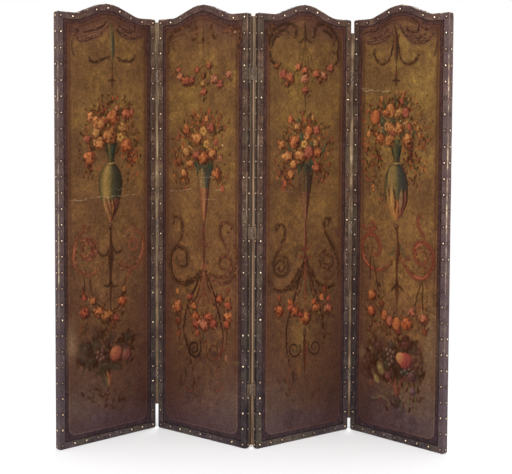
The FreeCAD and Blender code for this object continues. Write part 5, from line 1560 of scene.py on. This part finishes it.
# %% Leaf 4: festoon, fruit and cracks
def fourth_foot(skin):
    """A loose festoon, the bunch of fruit on dark leaves with its grapes, and the cracks."""
    festoon_lines = """sepia 0.9 370.5,253 370,266 370,285; 372.5,256.5 375,270.5 378,289 380.5,296.5; 420,279.5
    419.5,287.5 417,295 414.5,306.5 411.5,312; 421,279.5 422.5,287.5 422,296.5 423,318; sepia 0.8 371,296
    376,306 396,320 407,318 412,312"""
    lines(skin, festoon_lines, strength=0.85)
    festoon_touch = "379,284.5 1.5 3 sepia 0.5"
    dabs(skin, festoon_touch)
    festoon_leaves = """371,303 6,16 40; 392,320 22,10 80; 371,328 5,10 20; 423,320 7,16 34; 397,336 12,8 30;
    381,300 4,10 16"""
    scatter(skin, festoon_leaves, 1.3, SMALL_LEAVES + [WINE], 231)
    festoon_flowers = """orange 371.5,295 4.4; flame 371,311 4.4; bud orange 384,315 5; bud pink 389,320.5 5;
    crimson 398,331 3.2; bud orange 396,323.5 6.6; pink 411.5,312 3.6; flame 407,323.5 5.2; bud flame
    404.5,326.5 3.6; pink 423,319.5 4.6; bud rust 424.5,332.5 3.4; bud rust 381.5,303 3"""
    flowers(skin, festoon_flowers, 50)
    fruit_leaves = """396,358 29,18 170 2.3; 374,360 11,22 70 2.5; 406,346 12,9 50 2.2; 394,372 20,11 90 2.6;
    414,376 12,10 44 2.2; 396,398 28,14 60 2"""
    scatter(skin, fruit_leaves, 0, [UMBER, LEAF_DARK, (54, 42, 32), (72, 40, 32), UMBER], 241, 0.75)
    broad = """378,345.5 5.6 5.4 0.3 66/36/30; 371,349 2.6 5 0.5 86/66/42; 403.5,344.5 7.4 3.6 0.1 72/34/30;
    403.5,372.5 6 3.6 0 40/42/30; 380,368 4 6.6 0.4 118/98/58; 376,378 3 5 0.6 112/92/54; 365,362 4.6 6 0.4
    70/40/32; 366,374 4 4.6 0.5 62/36/30; 371,382 4 3 0.3 84/46/34; 414,352 4.6 3.4 -0.5 58/40/30; 386,364 3 5
    0.2 52/44/30; 391,345 4 4 0.2 50/40/28; 420,362 3.4 2.4 -0.4 64/44/32"""
    broad_leaves(skin, broad)
    fruit_places = """411.5,377 5 96/66/62 70/42/39 40/25/25; 388,376.5 4.6 98/62/52 74/40/34 42/24/22;
    405,361.5 8.6 130/62/52 110/49/42 66/29/27 1.05; 400,358.5 6 158/114/72 138/84/54 120/58/44 0.95"""
    fruits(skin, fruit_places)
    fruit_light = "404,351 403.5,359 401.5,366"
    stroke(skin, fruit_light, [0.8, 1.6, 0.8], (120, 50, 42), 0.6)
    grapes = """387,350 390.5,351.5 388,355 391.5,357 388.5,360 392,362 389.5,365 393,353 2.3 122/92/74 70/46/38
    36/25/24; 405,371 409,370 401,373 413,372 407,374 1.7 106/84/68 66/50/44 34/28/27"""
    fruits(skin, grapes)
    foot_leaves = """sepia 1.1 393,335 395,345 397,352; sepia 1 404,336 400,344 398,352; brick 1.2 384,372
    391,382 396,398; 406,374 400,384 396.5,398; brick 2.2/1.8/0.8 394.5,378 395.5,388 396,399; sage 1.2
    368.5,394.5 374,398 380.5,395.5 391,406; moss 1 404,380 402,396 401,416; sage 1 409,384 408,400 407,418;
    416,384 415,400 414,416; moss 1.1 376,386 384,392 392,396"""
    lines(skin, foot_leaves, strength=0.82)
    low_fruit = "412.5,392 3.6 104/72/74 74/46/50 48/32/36"
    fruits(skin, low_fruit)
    cracks = "1 360.5,89 365,88 370.5,90 375,91.5 380,91 384,92 389,91.5; 1 361.5,90.5 366,91 371,90.5 375,92"
    crack_lines(skin, cracks)


# %% Painting a leaf
# Place, width and height in millimetres, strength and colour.
STAINS = {1: "72,342 46 130 0.6 126/106/80",
          3: """270,282 46 90 0.55 48/30/22; 337,330 30 90 0.4 48/30/22; 299,370 26 52 0.55 118/76/42;
          301,334 88 160 0.48 122/96/48""",
          4: "430,346 66 280 0.4 122/104/76; 362,352 30 60 0.4 120/100/70"}
MOTIFS = {1: (first_head, first_urn, first_scrolls, first_foot),
          2: (second_head, second_vase, second_scrolls, second_foot),
          3: (third_head, third_vase, third_scrolls, third_foot),
          4: (fourth_head, fourth_urn, fourth_scrolls, fourth_foot)}


def paint_leaf(skin):
    """The ground, the soft patches where it has faded or darkened, and the leaf's own motifs."""
    lay_ground(skin)
    for (x, y), wide, tall, share, colour in read_rows(STAINS[skin.leaf]) if skin.leaf in STAINS else ():
        cells, p, q = blob(skin, x, y, wide * MM, tall * MM)
        skin.lay(cells, soft_step(1 - np.hypot(p, q), 0, 1) * share, colour)
    for paint_motif in MOTIFS[skin.leaf]:
        paint_motif(skin)

# %% [markdown]
# ## Stretching the skins
# Each skin is a thin closed slab. Its front sags a little between the stretcher's bars, as leather
# does once it has dried, and it carries its picture to the finish point by point.

# %% Skins on the leaves
SKIN_FRONT, SKIN_BACK, FRONT_EASE = 1.6 * MM, 3.45 * MM, 0.35 * MM
STILE_WIDE, BAR_HEIGHTS = 50 * MM, [80 * MM, 650 * MM, 1220 * MM, 1700 * MM]
SAG, RIPPLE, RIPPLE_SIZE = 0.9 * MM, 0.5 * MM, 60 * MM


def front_depth(across, up, seed):
    """Depth of a stretched face: a hollow of 1 mm in each panel of the stretcher, as the product of
    two bows, and slow ripples of half a millimetre that die out beside the stiles."""
    panel = np.clip((across - STILE_WIDE) / (LEAF_WIDTH - 2 * STILE_WIDE), 0, 1)
    bars = np.interp(up, BAR_HEIGHTS, range(len(BAR_HEIGHTS)))
    bow = np.sin(math.pi * panel) ** 2 * np.sin(math.pi * bars) ** 2
    free = soft_step(panel, 0, 0.2) * soft_step(1 - panel, 0, 0.2)
    return SAG * bow + RIPPLE * (drifts(across, up, RIPPLE_SIZE, seed, 0.6) - 0.5) * free


def slab(leaf, across, up, front, back, facing):
    """A closed slab over a grid: the grid's own face, a wall all round and one flat face behind.
    facing is 1 where the grid looks to the front of the leaf and -1 where it looks to the back."""
    rows, columns = across.shape
    mark = np.arange(rows * columns).reshape(rows, columns)
    rim = np.concatenate([mark[0, :-1], mark[:-1, -1], mark[-1, :0:-1], mark[:0:-1, 0]])
    x, z = across.ravel(), up.ravel()
    points = np.concatenate([place(leaf, x, front.ravel(), z), place(leaf, x[rim], back, z[rim])])
    behind = rows * columns + np.arange(len(rim))
    faces = strip_faces(rows, columns)
    wall = np.stack([rim, behind, np.roll(behind, -1), np.roll(rim, -1)], axis=-1)
    if facing < 0:
        faces, wall, behind = faces[:, ::-1], wall[:, ::-1], behind[::-1]
    return points, faces.tolist() + wall.tolist() + [behind[::-1].tolist()], rim


def declare_sheet(across, up):
    """How large the skin was cut: as wide as it and as tall as its crown, and its area, which is less
    than that by what the arch takes off."""
    wide, tall = float(np.ptp(across)), float(np.ptp(up))
    area = float((up[-1] - up[0]).mean()) * wide
    return wide, tall, area


def stretch_skin(skin):
    """The painted skin of a leaf, cut, stretched and given its picture."""
    leaf = skin.leaf
    depth = SKIN_FRONT + front_depth(skin.across, skin.up, 300 + leaf) + FRONT_EASE
    points, faces, rim = slab(leaf, skin.across, skin.up, depth, SKIN_BACK, 1)
    picture = as_light(np.clip(skin.picture, 0, 255)).reshape(-1, 3)
    picture = np.concatenate([picture, picture[rim]])
    relief = np.concatenate([skin.relief.ravel(), skin.relief.ravel()[rim]])
    flat = np.stack([skin.across.ravel(), skin.up.ravel()], axis=1)
    flat = np.concatenate([flat, flat[rim]])
    piece = make_piece(f"leaf_{leaf}_painted_skin", points, faces, FINISHES["painted_leather"], flat=flat,
                       picture=picture, relief=relief)
    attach(piece, f"leaf_{leaf}")
    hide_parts(f"leaf_{leaf}_painted_front")
    print("cut of the skin:", np.round(declare_sheet(skin.across, skin.up), 3))
    return piece


for leaf in TURNS:
    skin = Skin(leaf)
    paint_leaf(skin)
    piece = stretch_skin(skin)
    print(piece.name, len(piece.data.polygons), "faces, mean colour", np.round(skin.picture.mean(axis=(0, 1))))

# %% [markdown]
# The backs are stretched the same way, from plain leather with a coarser grid, because nothing is
# painted there.

# %% Plain backs
BACK_FACE, BACK_INNER, BACK_EASE, BACK_GRID = 26.4 * MM, 24.6 * MM, 0.3 * MM, (240, 60)


def plain_back(leaf):
    """The plain skin on the back of a leaf."""
    across, up = leaf_grid(*BACK_GRID)
    depth = BACK_FACE - front_depth(across, up, 400 + leaf) - BACK_EASE
    points, faces, rim = slab(leaf, across, up, depth, BACK_INNER, -1)
    relief = drifts(across, up, 24 * MM, 500 + leaf).ravel() * 0.6
    relief = np.concatenate([relief, relief[rim]])
    piece = make_piece(f"leaf_{leaf}_back_skin", points, faces, FINISHES["back_leather"], relief=relief)
    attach(piece, f"leaf_{leaf}")
    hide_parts(f"leaf_{leaf}_leather_back")
    declare_sheet(across, up)


for leaf in TURNS:
    plain_back(leaf)
print("backs stretched")

# %% [markdown]
# ## The nailed bands
# A band is a strip of leather folded round the leaf's edge and nailed on both faces. Its section is
# a flat channel with rounded folds, carried round the leaf's outline. The section is one parameter
# and the run round the leaf is the other, so the whole ring is one grid that closes both ways.

# %% Nail places
NAIL_INSET, NAIL_RADIUS, NAIL_RISE = 16 * MM, 5.5 * MM, 3 * MM
SIDE_COUNT, RAIL_COUNT, TOP_COUNT = 28, 9, 5
FAR_NAIL = LEAF_WIDTH - NAIL_INSET
SIDE_HEIGHTS = np.linspace(NAIL_INSET, SIDE_HEIGHT - NAIL_INSET, SIDE_COUNT)
RAIL_PLACES = np.linspace(NAIL_INSET, FAR_NAIL, RAIL_COUNT)[1:-1]
TOP_PLACES = np.linspace(NAIL_INSET, FAR_NAIL, TOP_COUNT)

pairs = ((NAIL_INSET, SIDE_HEIGHTS), (FAR_NAIL, SIDE_HEIGHTS), (RAIL_PLACES, NAIL_INSET),
         (RAIL_PLACES, arch(RAIL_PLACES, NAIL_INSET)))
FACE_NAILS = np.concatenate([np.stack(np.broadcast_arrays(*pair), axis=1) for pair in pairs])
print("nails on a face:", len(FACE_NAILS))

# %% The outline of a band
BAND_WIDE, FOLD_RADIUS, CORNER_RADIUS, CORNER_SPREAD = 27 * MM, 2.6 * MM, 8 * MM, 5 * MM
RUN_STEP, CORNER_STEPS = 4.2 * MM, 6


def outline_pair():
    """The leaf's rounded outline and the square-cornered line a band's width inside it, point for point,
    anticlockwise from the left foot. Between them a band's surface runs in straight lines."""
    outer, inner = [], []
    corners = np.array([(LEAF_WIDTH, 0), (LEAF_WIDTH, SIDE_HEIGHT), (0, SIDE_HEIGHT), (0, 0)])
    ways = [(1, 0), (0, 1), (-1, 0), (0, -1)]
    turn = np.linspace(0, 1, CORNER_STEPS + 1)[:-1, None]
    for number, (start, end) in enumerate(zip(np.roll(corners, 1, axis=0), corners)):
        along, before, after = (np.array(ways[(number + k) % 4], float) for k in (0, -1, 1))
        length = abs((end - start) @ along) - 2 * CORNER_RADIUS
        share = np.linspace(0, 1, int(length / RUN_STEP), endpoint=False)[:, None]
        line = start + CORNER_RADIUS * along + share * length * along
        first = start + BAND_WIDE * (along - before) + CORNER_SPREAD * along
        last = end + BAND_WIDE * (after - along) - CORNER_SPREAD * along
        inset_line = first + share * (last - first)
        if number == 2:
            line[:, 1], inset_line[:, 1] = arch(line[:, 0]), arch(inset_line[:, 0], BAND_WIDE)
        angle = turn * math.pi / 2
        centre = end - CORNER_RADIUS * along + CORNER_RADIUS * after
        outer += [line, centre + CORNER_RADIUS * (np.sin(angle) * along - np.cos(angle) * after)]
        inset_corner = end + BAND_WIDE * (after - along)
        back, on = np.maximum(1 - 2 * turn, 0), np.maximum(2 * turn - 1, 0)
        inner += [inset_line, inset_corner + CORNER_SPREAD * (on * after - back * along)]
    return np.concatenate(outer), np.concatenate(inner)


OUTER_LINE, INNER_LINE = outline_pair()
print("points round a band:", len(OUTER_LINE))

# %% The section of a band
# Inset and depth of half the section in millimetres: the lip, the flat, the fold and the side; then
# the same mirrored, and four points for the inner face.
BAND_THICK, MIDDLE = 1.5 * MM, LEAF_THICKNESS / 2
LIP = [(27, 1.5), (27, 0.55), (26.4, 0.08), (24.5, 0), (20, 0), (16, 0), (12, 0), (8, 0), (4.8, 0)]
SIDE = [(0, 5), (0, 9.5)]
fold = np.linspace(0, math.pi / 2, 5)[:, None]
half = np.concatenate([np.array(LIP) * MM, FOLD_RADIUS * (1 - np.concatenate([np.sin(fold), np.cos(fold)], axis=1)),
                       np.array(SIDE) * MM])
mirrored = np.stack([half[::-1, 0], LEAF_THICKNESS - half[::-1, 1]], axis=1)
near, far, hem = BAND_THICK, LEAF_THICKNESS - BAND_THICK, BAND_WIDE - 2 * MM
SECTION = np.concatenate([half, [(0, MIDDLE)], mirrored, [(hem, far), (near, far), (near, near), (hem, near)]])
SHOWN = len(half) * 2 + 1
# How much painted shade darkens the left and right sides of a leaf's bands.
SIDE_SHADES = {1: (0.3, 0.2), 2: (0.06, 0.26), 3: (0.26, 0.0), 4: (0.4, 0.06)}


def band_shades(leaf, across, up, deep, away, lumps):
    """What each point carries to the finish: how worn its edge is, the grime round the nails and the
    painted shade on the lip's cut edge, the sides darkened by painted shade, also where they face each
    other in the middle fold, the plum sides, and the pale crest at the middle fold."""
    inset, depth = SECTION.T
    corner_gap = np.minimum(np.hypot(inset, depth), np.hypot(inset, depth - LEAF_THICKNESS))
    edge = np.exp(-(corner_gap / (3.4 * MM)) ** 2) + 0.4 * (inset > 26.2 * MM)
    edge = np.broadcast_to(edge + 0.2 * np.exp(-((inset - 10 * MM) / (5 * MM)) ** 2), across.shape)
    right = across > LEAF_WIDTH / 2
    folded_side = right if leaf == 2 else ~right if leaf == 3 else np.zeros_like(right)
    if leaf in (2, 3):
        edge = edge * np.where(folded_side, 0.4, 1.15)
    else:
        rubbed = 0.4 * soft_step(up, 1.0, 1.6) if leaf == 1 else 0.2 * soft_step(up, 0.3, 1.1)
        edge = edge + ((across if leaf == 1 else LEAF_WIDTH - across) < 2.7 * MM) * rubbed * (0.3 + lumps)
    dirt = np.clip(1.15 * np.exp(-((away - 5 * MM) / (3.6 * MM)) ** 2), 0, 1) * (0.5 + 0.7 * lumps)
    # Painted shade on the lip's cut edge.
    dirt = np.maximum(dirt, np.where(inset > 26.7 * MM, 0.9, 0))
    on_side = 1 - soft_step(np.minimum(across, LEAF_WIDTH - across), 30 * MM, 60 * MM)
    turned_in = (inset < 0.5 * MM) * (on_side > 0.9) * folded_side
    shade = on_side * np.where(right, SIDE_SHADES[leaf][1], SIDE_SHADES[leaf][0])
    plum = on_side * (right if leaf == 4 else ~right if leaf == 1 else 0)
    crest = turned_in * soft_step(deep, 21 * MM, 25 * MM) * (0.55 if leaf == 2 else 1.0)
    return {"edge": np.clip(edge, 0, 1.2), "dirt": np.clip(dirt, 0, 1),
            "shade": np.maximum(shade, 0.6 * turned_in), "plum": plum, "crest": crest}


def band(leaf):
    """The ring: a point is the outer line plus its inset's share of the way to the inner one, at the
    section's depth. Leather swells by up to half a millimetre away from the nails that pinch it,
    and its lip wanders by a millimetre."""
    inset, depth = SECTION.T
    run, count = len(OUTER_LINE), len(SECTION)
    flat = OUTER_LINE[:, None] + (inset / BAND_WIDE)[None, :, None] * (INNER_LINE - OUTER_LINE)[:, None]
    across, up, deep = flat[..., 0], flat[..., 1], np.repeat(depth[None, :], run, axis=0)
    on_face = np.hypot(across[..., None] - FACE_NAILS[:, 0], up[..., None] - FACE_NAILS[:, 1]).min(axis=-1)
    on_edge = np.hypot(deep - MIDDLE, np.abs(up[..., None] - SIDE_HEIGHTS).min(axis=-1))
    away = np.where(inset > 2 * MM, on_face, on_edge)
    lumps = drifts(across + deep, up, 30 * MM, 600 + leaf, 1.4)
    swell = (0.55 * (1 - np.exp(-(away / (9 * MM)) ** 2)) + 0.5 * (lumps - 0.5) - 0.35) * MM
    swell[:, SHOWN:] = 0
    deep = deep + swell * np.where(depth < MIDDLE, -1.0, 1.0) * (inset > FOLD_RADIUS)
    ragged = (drifts(OUTER_LINE[:, 0], OUTER_LINE[:, 1], 22 * MM, 640 + leaf) - 0.5) * 2.2 * MM
    shift = ragged[:, None] * (OUTER_LINE - INNER_LINE) / BAND_WIDE
    flat = flat + (inset > 26 * MM)[None, :, None] * shift[:, None]
    points = place(leaf, flat[..., 0], deep, flat[..., 1])
    long, width = (np.concatenate([[0], np.cumsum(np.hypot(*np.diff(line, axis=0).T))])
                   for line in (OUTER_LINE, SECTION))
    faces = outward_faces(points, strip_faces(run, count, around=True, ring=True))
    piece = make_piece(f"leaf_{leaf}_nailed_band", points, faces.tolist(), FINISHES["band_leather"],
                       flat=np.stack(np.meshgrid(width, long), axis=-1),
                       **band_shades(leaf, across, up, deep, away, lumps))
    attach(piece, f"leaf_{leaf}")
    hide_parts(f"leaf_{leaf}_side_bands", f"leaf_{leaf}_top_band", f"leaf_{leaf}_bottom_band")
    return piece


for leaf in TURNS:
    piece = band(leaf)
print(piece.name, len(piece.data.polygons), "faces")

# %% [markdown]
# ## The nails
# More than two hundred round-headed nails hold each leaf's bands. Each is a low dome of a few dozen
# faces, and no two stand quite alike: every head is a little off its mark, tipped, and more or less
# worn. Its crown is brighter than its rim.

# %% Nail heads
ROUND, RINGS = 10, np.array([(1.0, 0.0), (0.97, 0.22), (0.80, 0.60), (0.48, 0.88)])
DOME_RISE, SUNK_FOOT, SUNK_RIM = NAIL_RISE * 0.97, 0.6 * MM, 0.4 * MM
LEAN_SPREAD, OFF_MARK = 0.035, 0.35 * MM


def heads(leaf, seed):
    """All the heads of a leaf as one array: each dome's ring points are its radius times cosine and
    sine of the angle round it, and its rise, laid along two sides of its own and outwards."""
    along, into = directions(leaf)
    up = np.array([0, 0, 1.0])
    spots, outs = [], []
    for depth, out in ((0, -into), (LEAF_THICKNESS, into)):
        spots.append(place(leaf, FACE_NAILS[:, 0], depth, FACE_NAILS[:, 1]))
        outs.append(np.repeat(out[None], len(FACE_NAILS), axis=0))
    for across, out in ((0, -along), (LEAF_WIDTH, along)):
        spots.append(place(leaf, across, MIDDLE, SIDE_HEIGHTS))
        outs.append(np.repeat(out[None], SIDE_COUNT, axis=0))
    lean = (arch(TOP_PLACES + MM) - arch(TOP_PLACES - MM)) / (2 * MM)
    spots.append(place(leaf, TOP_PLACES, MIDDLE, arch(TOP_PLACES)))
    outs.append((up - lean[:, None] * along) / np.sqrt(1 + lean ** 2)[:, None])
    spots, outs = np.concatenate(spots), np.concatenate(outs)
    rng = np.random.default_rng(seed)
    count = len(spots)
    outs = outs + rng.normal(0, LEAN_SPREAD, (count, 3))
    outs /= np.linalg.norm(outs, axis=1)[:, None]
    helper = np.where(np.abs(outs[:, 2:]) > 0.9, along[None], up[None])
    side = np.cross(helper, outs)
    side /= np.linalg.norm(side, axis=1)[:, None]
    other = np.cross(outs, side)
    spots = spots + (rng.normal(0, OFF_MARK, (count, 1)) * side + rng.normal(0, OFF_MARK, (count, 1)) * other)
    angle = (np.arange(ROUND) * 2 * math.pi / ROUND)[None, :, None]
    round_about = np.cos(angle) * side[:, None] + np.sin(angle) * other[:, None]
    radius = NAIL_RADIUS * rng.uniform(0.93, 1.03, count)
    points = [(spots - SUNK_FOOT * outs)[:, None]]
    for reach, rise in RINGS:
        ring = spots[:, None] + radius[:, None, None] * reach * round_about
        points.append(ring + (rise * DOME_RISE - (SUNK_RIM if rise == 0 else 0)) * outs[:, None])
    points.append((spots + DOME_RISE * outs)[:, None])
    stack = np.concatenate(points, axis=1)
    shade = np.tile(np.concatenate([[0], np.repeat(RINGS[:, 1], ROUND), [1]]), (count, 1))
    each = stack.shape[1]
    quads = strip_faces(len(RINGS), ROUND, around=True, first=1)
    foot, top = 1 + np.arange(ROUND), each - 1 - ROUND + np.arange(ROUND)
    caps = np.concatenate([np.stack([top, np.roll(top, -1), np.full(ROUND, each - 1)], axis=-1),
                           np.stack([np.roll(foot, -1), foot, np.zeros(ROUND, int)], axis=-1)])
    shift = (np.arange(count) * each)[:, None, None]
    all_faces = (quads[None] + shift).reshape(-1, 4).tolist() + (caps[None] + shift).reshape(-1, 3).tolist()
    tone = np.repeat(np.clip(rng.normal(0.5, 0.27, count), 0, 1)[:, None], each, axis=1)
    piece = make_piece(f"leaf_{leaf}_nail_heads", stack, all_faces, FINISHES["nail_brass"], tone=tone, crown=shade)
    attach(piece, f"leaf_{leaf}")
    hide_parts(f"leaf_{leaf}_nails")
    return piece, count


for leaf in TURNS:
    piece, count = heads(leaf, 700 + leaf)
print(piece.name, count, "nails,", len(piece.data.polygons), "faces")

# %% [markdown]
# ## The strips over the folds
# Between the hinges each fold is closed by a strip of leather that runs from one leaf's edge to the
# next and bends as the screen is folded. Two lines of points are carried up the fold, a bowed outer
# one and a thinner inner one.

# %% Fold strips
HINGE_SPACES, HINGE_LENGTH, HINGE_GAP = (3, 13, 23), 49.7 * MM, 0.3 * MM
HINGE_HEIGHTS = [NAIL_INSET + (SIDE_HEIGHTS[1] - SIDE_HEIGHTS[0]) * (space + 0.5) for space in HINGE_SPACES]
HINGE_HALF = HINGE_LENGTH / 2 + HINGE_GAP
STRIP_TAIL, STRIP_THICK, STRIP_STEP, OFF_FACE = 6 * MM, 1.2 * MM, 7 * MM, 0.05 * MM
ARC_COUNT, BLEND_HEIGHT = 9, 0.9
# Each fold's name, and how far its strip stops above the foot and below the shoulders.
FOLDS = {1: ("fold_1_2", 105 * MM, 12 * MM), 2: ("fold_2_3", 12 * MM, 12 * MM), 3: ("fold_3_4", 50 * MM, 55 * MM)}


def strip_line(fold, depth, across, bow, height):
    """One line of the strip's section at each height: down one leaf's edge, over the gap in a
    shallow arc of the given bow, and down the other's."""
    face, inward = (LEAF_THICKNESS, -1) if fold == 2 else (0.0, 1)
    near = lambda a, d: place(fold, LEAF_WIDTH + a, face + inward * d, height)
    far = lambda a, d: place(fold + 1, -a, face + inward * d, height)
    left, right = near(across, depth), far(across, depth)
    _, into = directions(fold)
    _, onto = directions(fold + 1)
    out = -(into + onto) * inward / np.linalg.norm(into + onto)
    parts = [near(across, depth + (STRIP_TAIL - depth) * k) for k in (1, 0.5)]
    for share in np.linspace(0, 1, ARC_COUNT):
        parts.append(left + share * (right - left) + (bow * 4 * share * (1 - share))[:, None] * out)
    parts += [far(across, depth + (STRIP_TAIL - depth) * k) for k in (0.5, 1)]
    return np.stack(parts, axis=1)


def fold_strip(fold):
    """The lengths of strip between the hinges. A section's points run over the outer line and back
    along the inner one; painted shade darkens the outer face a little, and the tails and the inner face,
    down in the gap between the leaves, the most."""
    name, foot, head = FOLDS[fold]
    ends = [foot] + [v for h in HINGE_HEIGHTS for v in (h - HINGE_HALF, h + HINGE_HALF)] + [SIDE_HEIGHT - head]
    line = ARC_COUNT + 4
    # Painted shade: the tails and the inner face lie in the gap between the leaves.
    shade, ridge = np.ones(2 * line), np.zeros(2 * line)
    shade[:line], shade[[0, 1, line - 2, line - 1]] = 0.15, 0.9
    if fold == 2:
        ridge[line + 2:2 * line - 2] = np.exp(-((np.linspace(1, 0, ARC_COUNT) - 0.9) / 0.3) ** 2)
    sections, faces, first = [], [], 0
    for low, high in zip(ends[0::2], ends[1::2]):
        height = np.linspace(low, high, max(int((high - low) / STRIP_STEP), 4))
        bow = (0.3 + 1.5 * drifts(np.full_like(height, fold * 0.3), height, 40 * MM, 800 + fold)) * MM
        outer = strip_line(fold, OFF_FACE, 0.0, bow, height)
        inner = strip_line(fold, STRIP_THICK, STRIP_THICK, bow, height)
        section = np.concatenate([outer, inner[:, ::-1]], axis=1)
        rows, count = section.shape[:2]
        body = strip_faces(rows, count, around=True)
        caps = [np.arange(count)[::-1], (rows - 1) * count + np.arange(count)]
        turned = outward_faces(section, body)
        if not np.array_equal(turned, body):
            caps = [cap[::-1] for cap in caps]
        faces += (turned + first).tolist() + [(cap + first).tolist() for cap in caps]
        sections.append(section)
        first += rows * count
    points = np.concatenate(sections)
    piece = make_piece(name + "_leather_strip", points, faces, FINISHES["strip_leather"],
                       dirt=np.tile(shade, (len(points), 1)), crest=np.tile(ridge, (len(points), 1)))
    face = LEAF_THICKNESS if fold == 2 else 0.0
    start, end = place(fold, LEAF_WIDTH, face, BLEND_HEIGHT), place(fold + 1, 0.0, face, BLEND_HEIGHT)
    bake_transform(piece)
    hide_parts(name + "_strip")
    return piece


for fold_number in FOLDS:
    piece = fold_strip(fold_number)
print(piece.name, len(piece.data.polygons), "faces")

# %% [markdown]
# ## Finishes on the imported solids
# The wood inside, the hinges and the screws keep the shape that they were imported with, and take
# their finish by the slot that each of them names.

# %% Finishes for the solids
dressed = 0
for name, node in NODES.items():
    for holder in node.material_slots:
        slot = holder.material.name.split(".")[0] if holder.material else "stretcher_wood"
        finish = FINISHES.get(slot) or FINISHES[next(key for key in FINISHES if slot.startswith(key))]
        holder.material = finish
        dressed += 1
print("solids dressed:", dressed)

# %% [markdown]
# ## Floor, light and backdrop
# The screen was photographed on a white sweep under broad, even light. The floor here is a plain
# pale disc that fades to the white of the backdrop, and keeps the soft shadow at the feet.

# %% Floor
WHITE_RAYS = ("Is Camera Ray", "Is Glossy Ray", "Is Transmission Ray")
WHITE = (1, 1, 1, 1)


def pale_floor():
    """A pale grey that turns into the white of the backdrop between 0.75 and 1.7 m from the middle."""
    f = Finish("pale_floor", Roughness=0.9, Specular_IOR_Level=0.1)
    reach = f.node("ShaderNodeVectorMath", {"operation": "LENGTH"}, {0: f.object_place()}, out="Value")
    seen = sum(f.node("ShaderNodeLightPath", out=ray) for ray in WHITE_RAYS)
    white = f.node("ShaderNodeEmission", None, {"Color": WHITE, "Strength": 1.0}, out="Emission")
    share = seen.between(0.0, 1.0) * reach.between(0.75, 1.7)
    f.done(f.tint(f.cloud(1.5, 2) * 0.2, (242, 242, 243), (237, 237, 238)))
    mixed = f.node("ShaderNodeMixShader", None, {0: share, 2: white})
    f.links.new(f.shader.outputs["BSDF"], mixed.socket.node.inputs[1])
    f.links.new(mixed.socket, f.nodes["Material Output"].inputs["Surface"])
    return f.material


FLOOR_RADII, FLOOR_SIDES, FLOOR_LEVEL = np.array([1.0, 3.0, 40.0])[:, None], 96, -0.4 * MM
angle = np.arange(FLOOR_SIDES) * 2 * math.pi / FLOOR_SIDES
disc = np.stack(np.broadcast_arrays(FLOOR_RADII * np.cos(angle), FLOOR_RADII * np.sin(angle), FLOOR_LEVEL), axis=-1)
floor_faces = strip_faces(len(FLOOR_RADII), FLOOR_SIDES, around=True)[:, ::-1].tolist() + [list(range(FLOOR_SIDES))]
floor = make_piece("floor", disc, floor_faces, pale_floor(), smooth=False)

# %% World and lamps
world = bpy.data.worlds.new("studio")
bpy.context.scene.world = world
world.use_nodes = True
air = world.node_tree
sky = air.nodes["Background"]
sky.inputs["Color"].default_value = WHITE
sky.inputs["Strength"].default_value = 0.5
backdrop = air.nodes.new("ShaderNodeBackground")
backdrop.inputs["Color"].default_value = WHITE
path, choose = air.nodes.new("ShaderNodeLightPath"), air.nodes.new("ShaderNodeMixShader")
seen = path.outputs[WHITE_RAYS[0]]
for ray in WHITE_RAYS[1:]:
    adding = air.nodes.new("ShaderNodeMath")
    adding.use_clamp = True
    air.links.new(seen, adding.inputs[0])
    air.links.new(path.outputs[ray], adding.inputs[1])
    seen = adding.outputs[0]
air.links.new(seen, choose.inputs[0])
air.links.new(sky.outputs[0], choose.inputs[1])
air.links.new(backdrop.outputs[0], choose.inputs[2])
air.links.new(choose.outputs[0], air.nodes["World Output"].inputs["Surface"])


def lamp(name, stands, aims, wide, watts):
    """A square soft lamp turned so that its own -Z runs from where it stands to what it lights."""
    data = bpy.data.lights.new(name, "AREA")
    data.shape, data.size, data.energy = "SQUARE", wide, watts
    back = np.array(stands, float) - np.array(aims, float)
    back /= np.linalg.norm(back)
    side = np.cross((0, 0, 1.0), back)
    side /= np.linalg.norm(side)
    holder = bpy.data.objects.new(name, data)
    turned = np.eye(4)
    turned[:3, 0], turned[:3, 1], turned[:3, 2], turned[:3, 3] = side, np.cross(back, side), back, stands
    holder.matrix_world = Matrix(turned.tolist())
    bpy.context.scene.collection.objects.link(holder)


LIT_POINT = (0, 0, 0.9)
lamp("left_lamp", (-3.2, -3.9, 2.2), LIT_POINT, 2.6, 270)
lamp("right_lamp", (3.2, -3.9, 2.2), LIT_POINT, 2.6, 270)
lamp("back_lamp", (0.6, 4.4, 2.8), LIT_POINT, 3.0, 260)

bpy.context.scene.view_settings.view_transform = "Standard"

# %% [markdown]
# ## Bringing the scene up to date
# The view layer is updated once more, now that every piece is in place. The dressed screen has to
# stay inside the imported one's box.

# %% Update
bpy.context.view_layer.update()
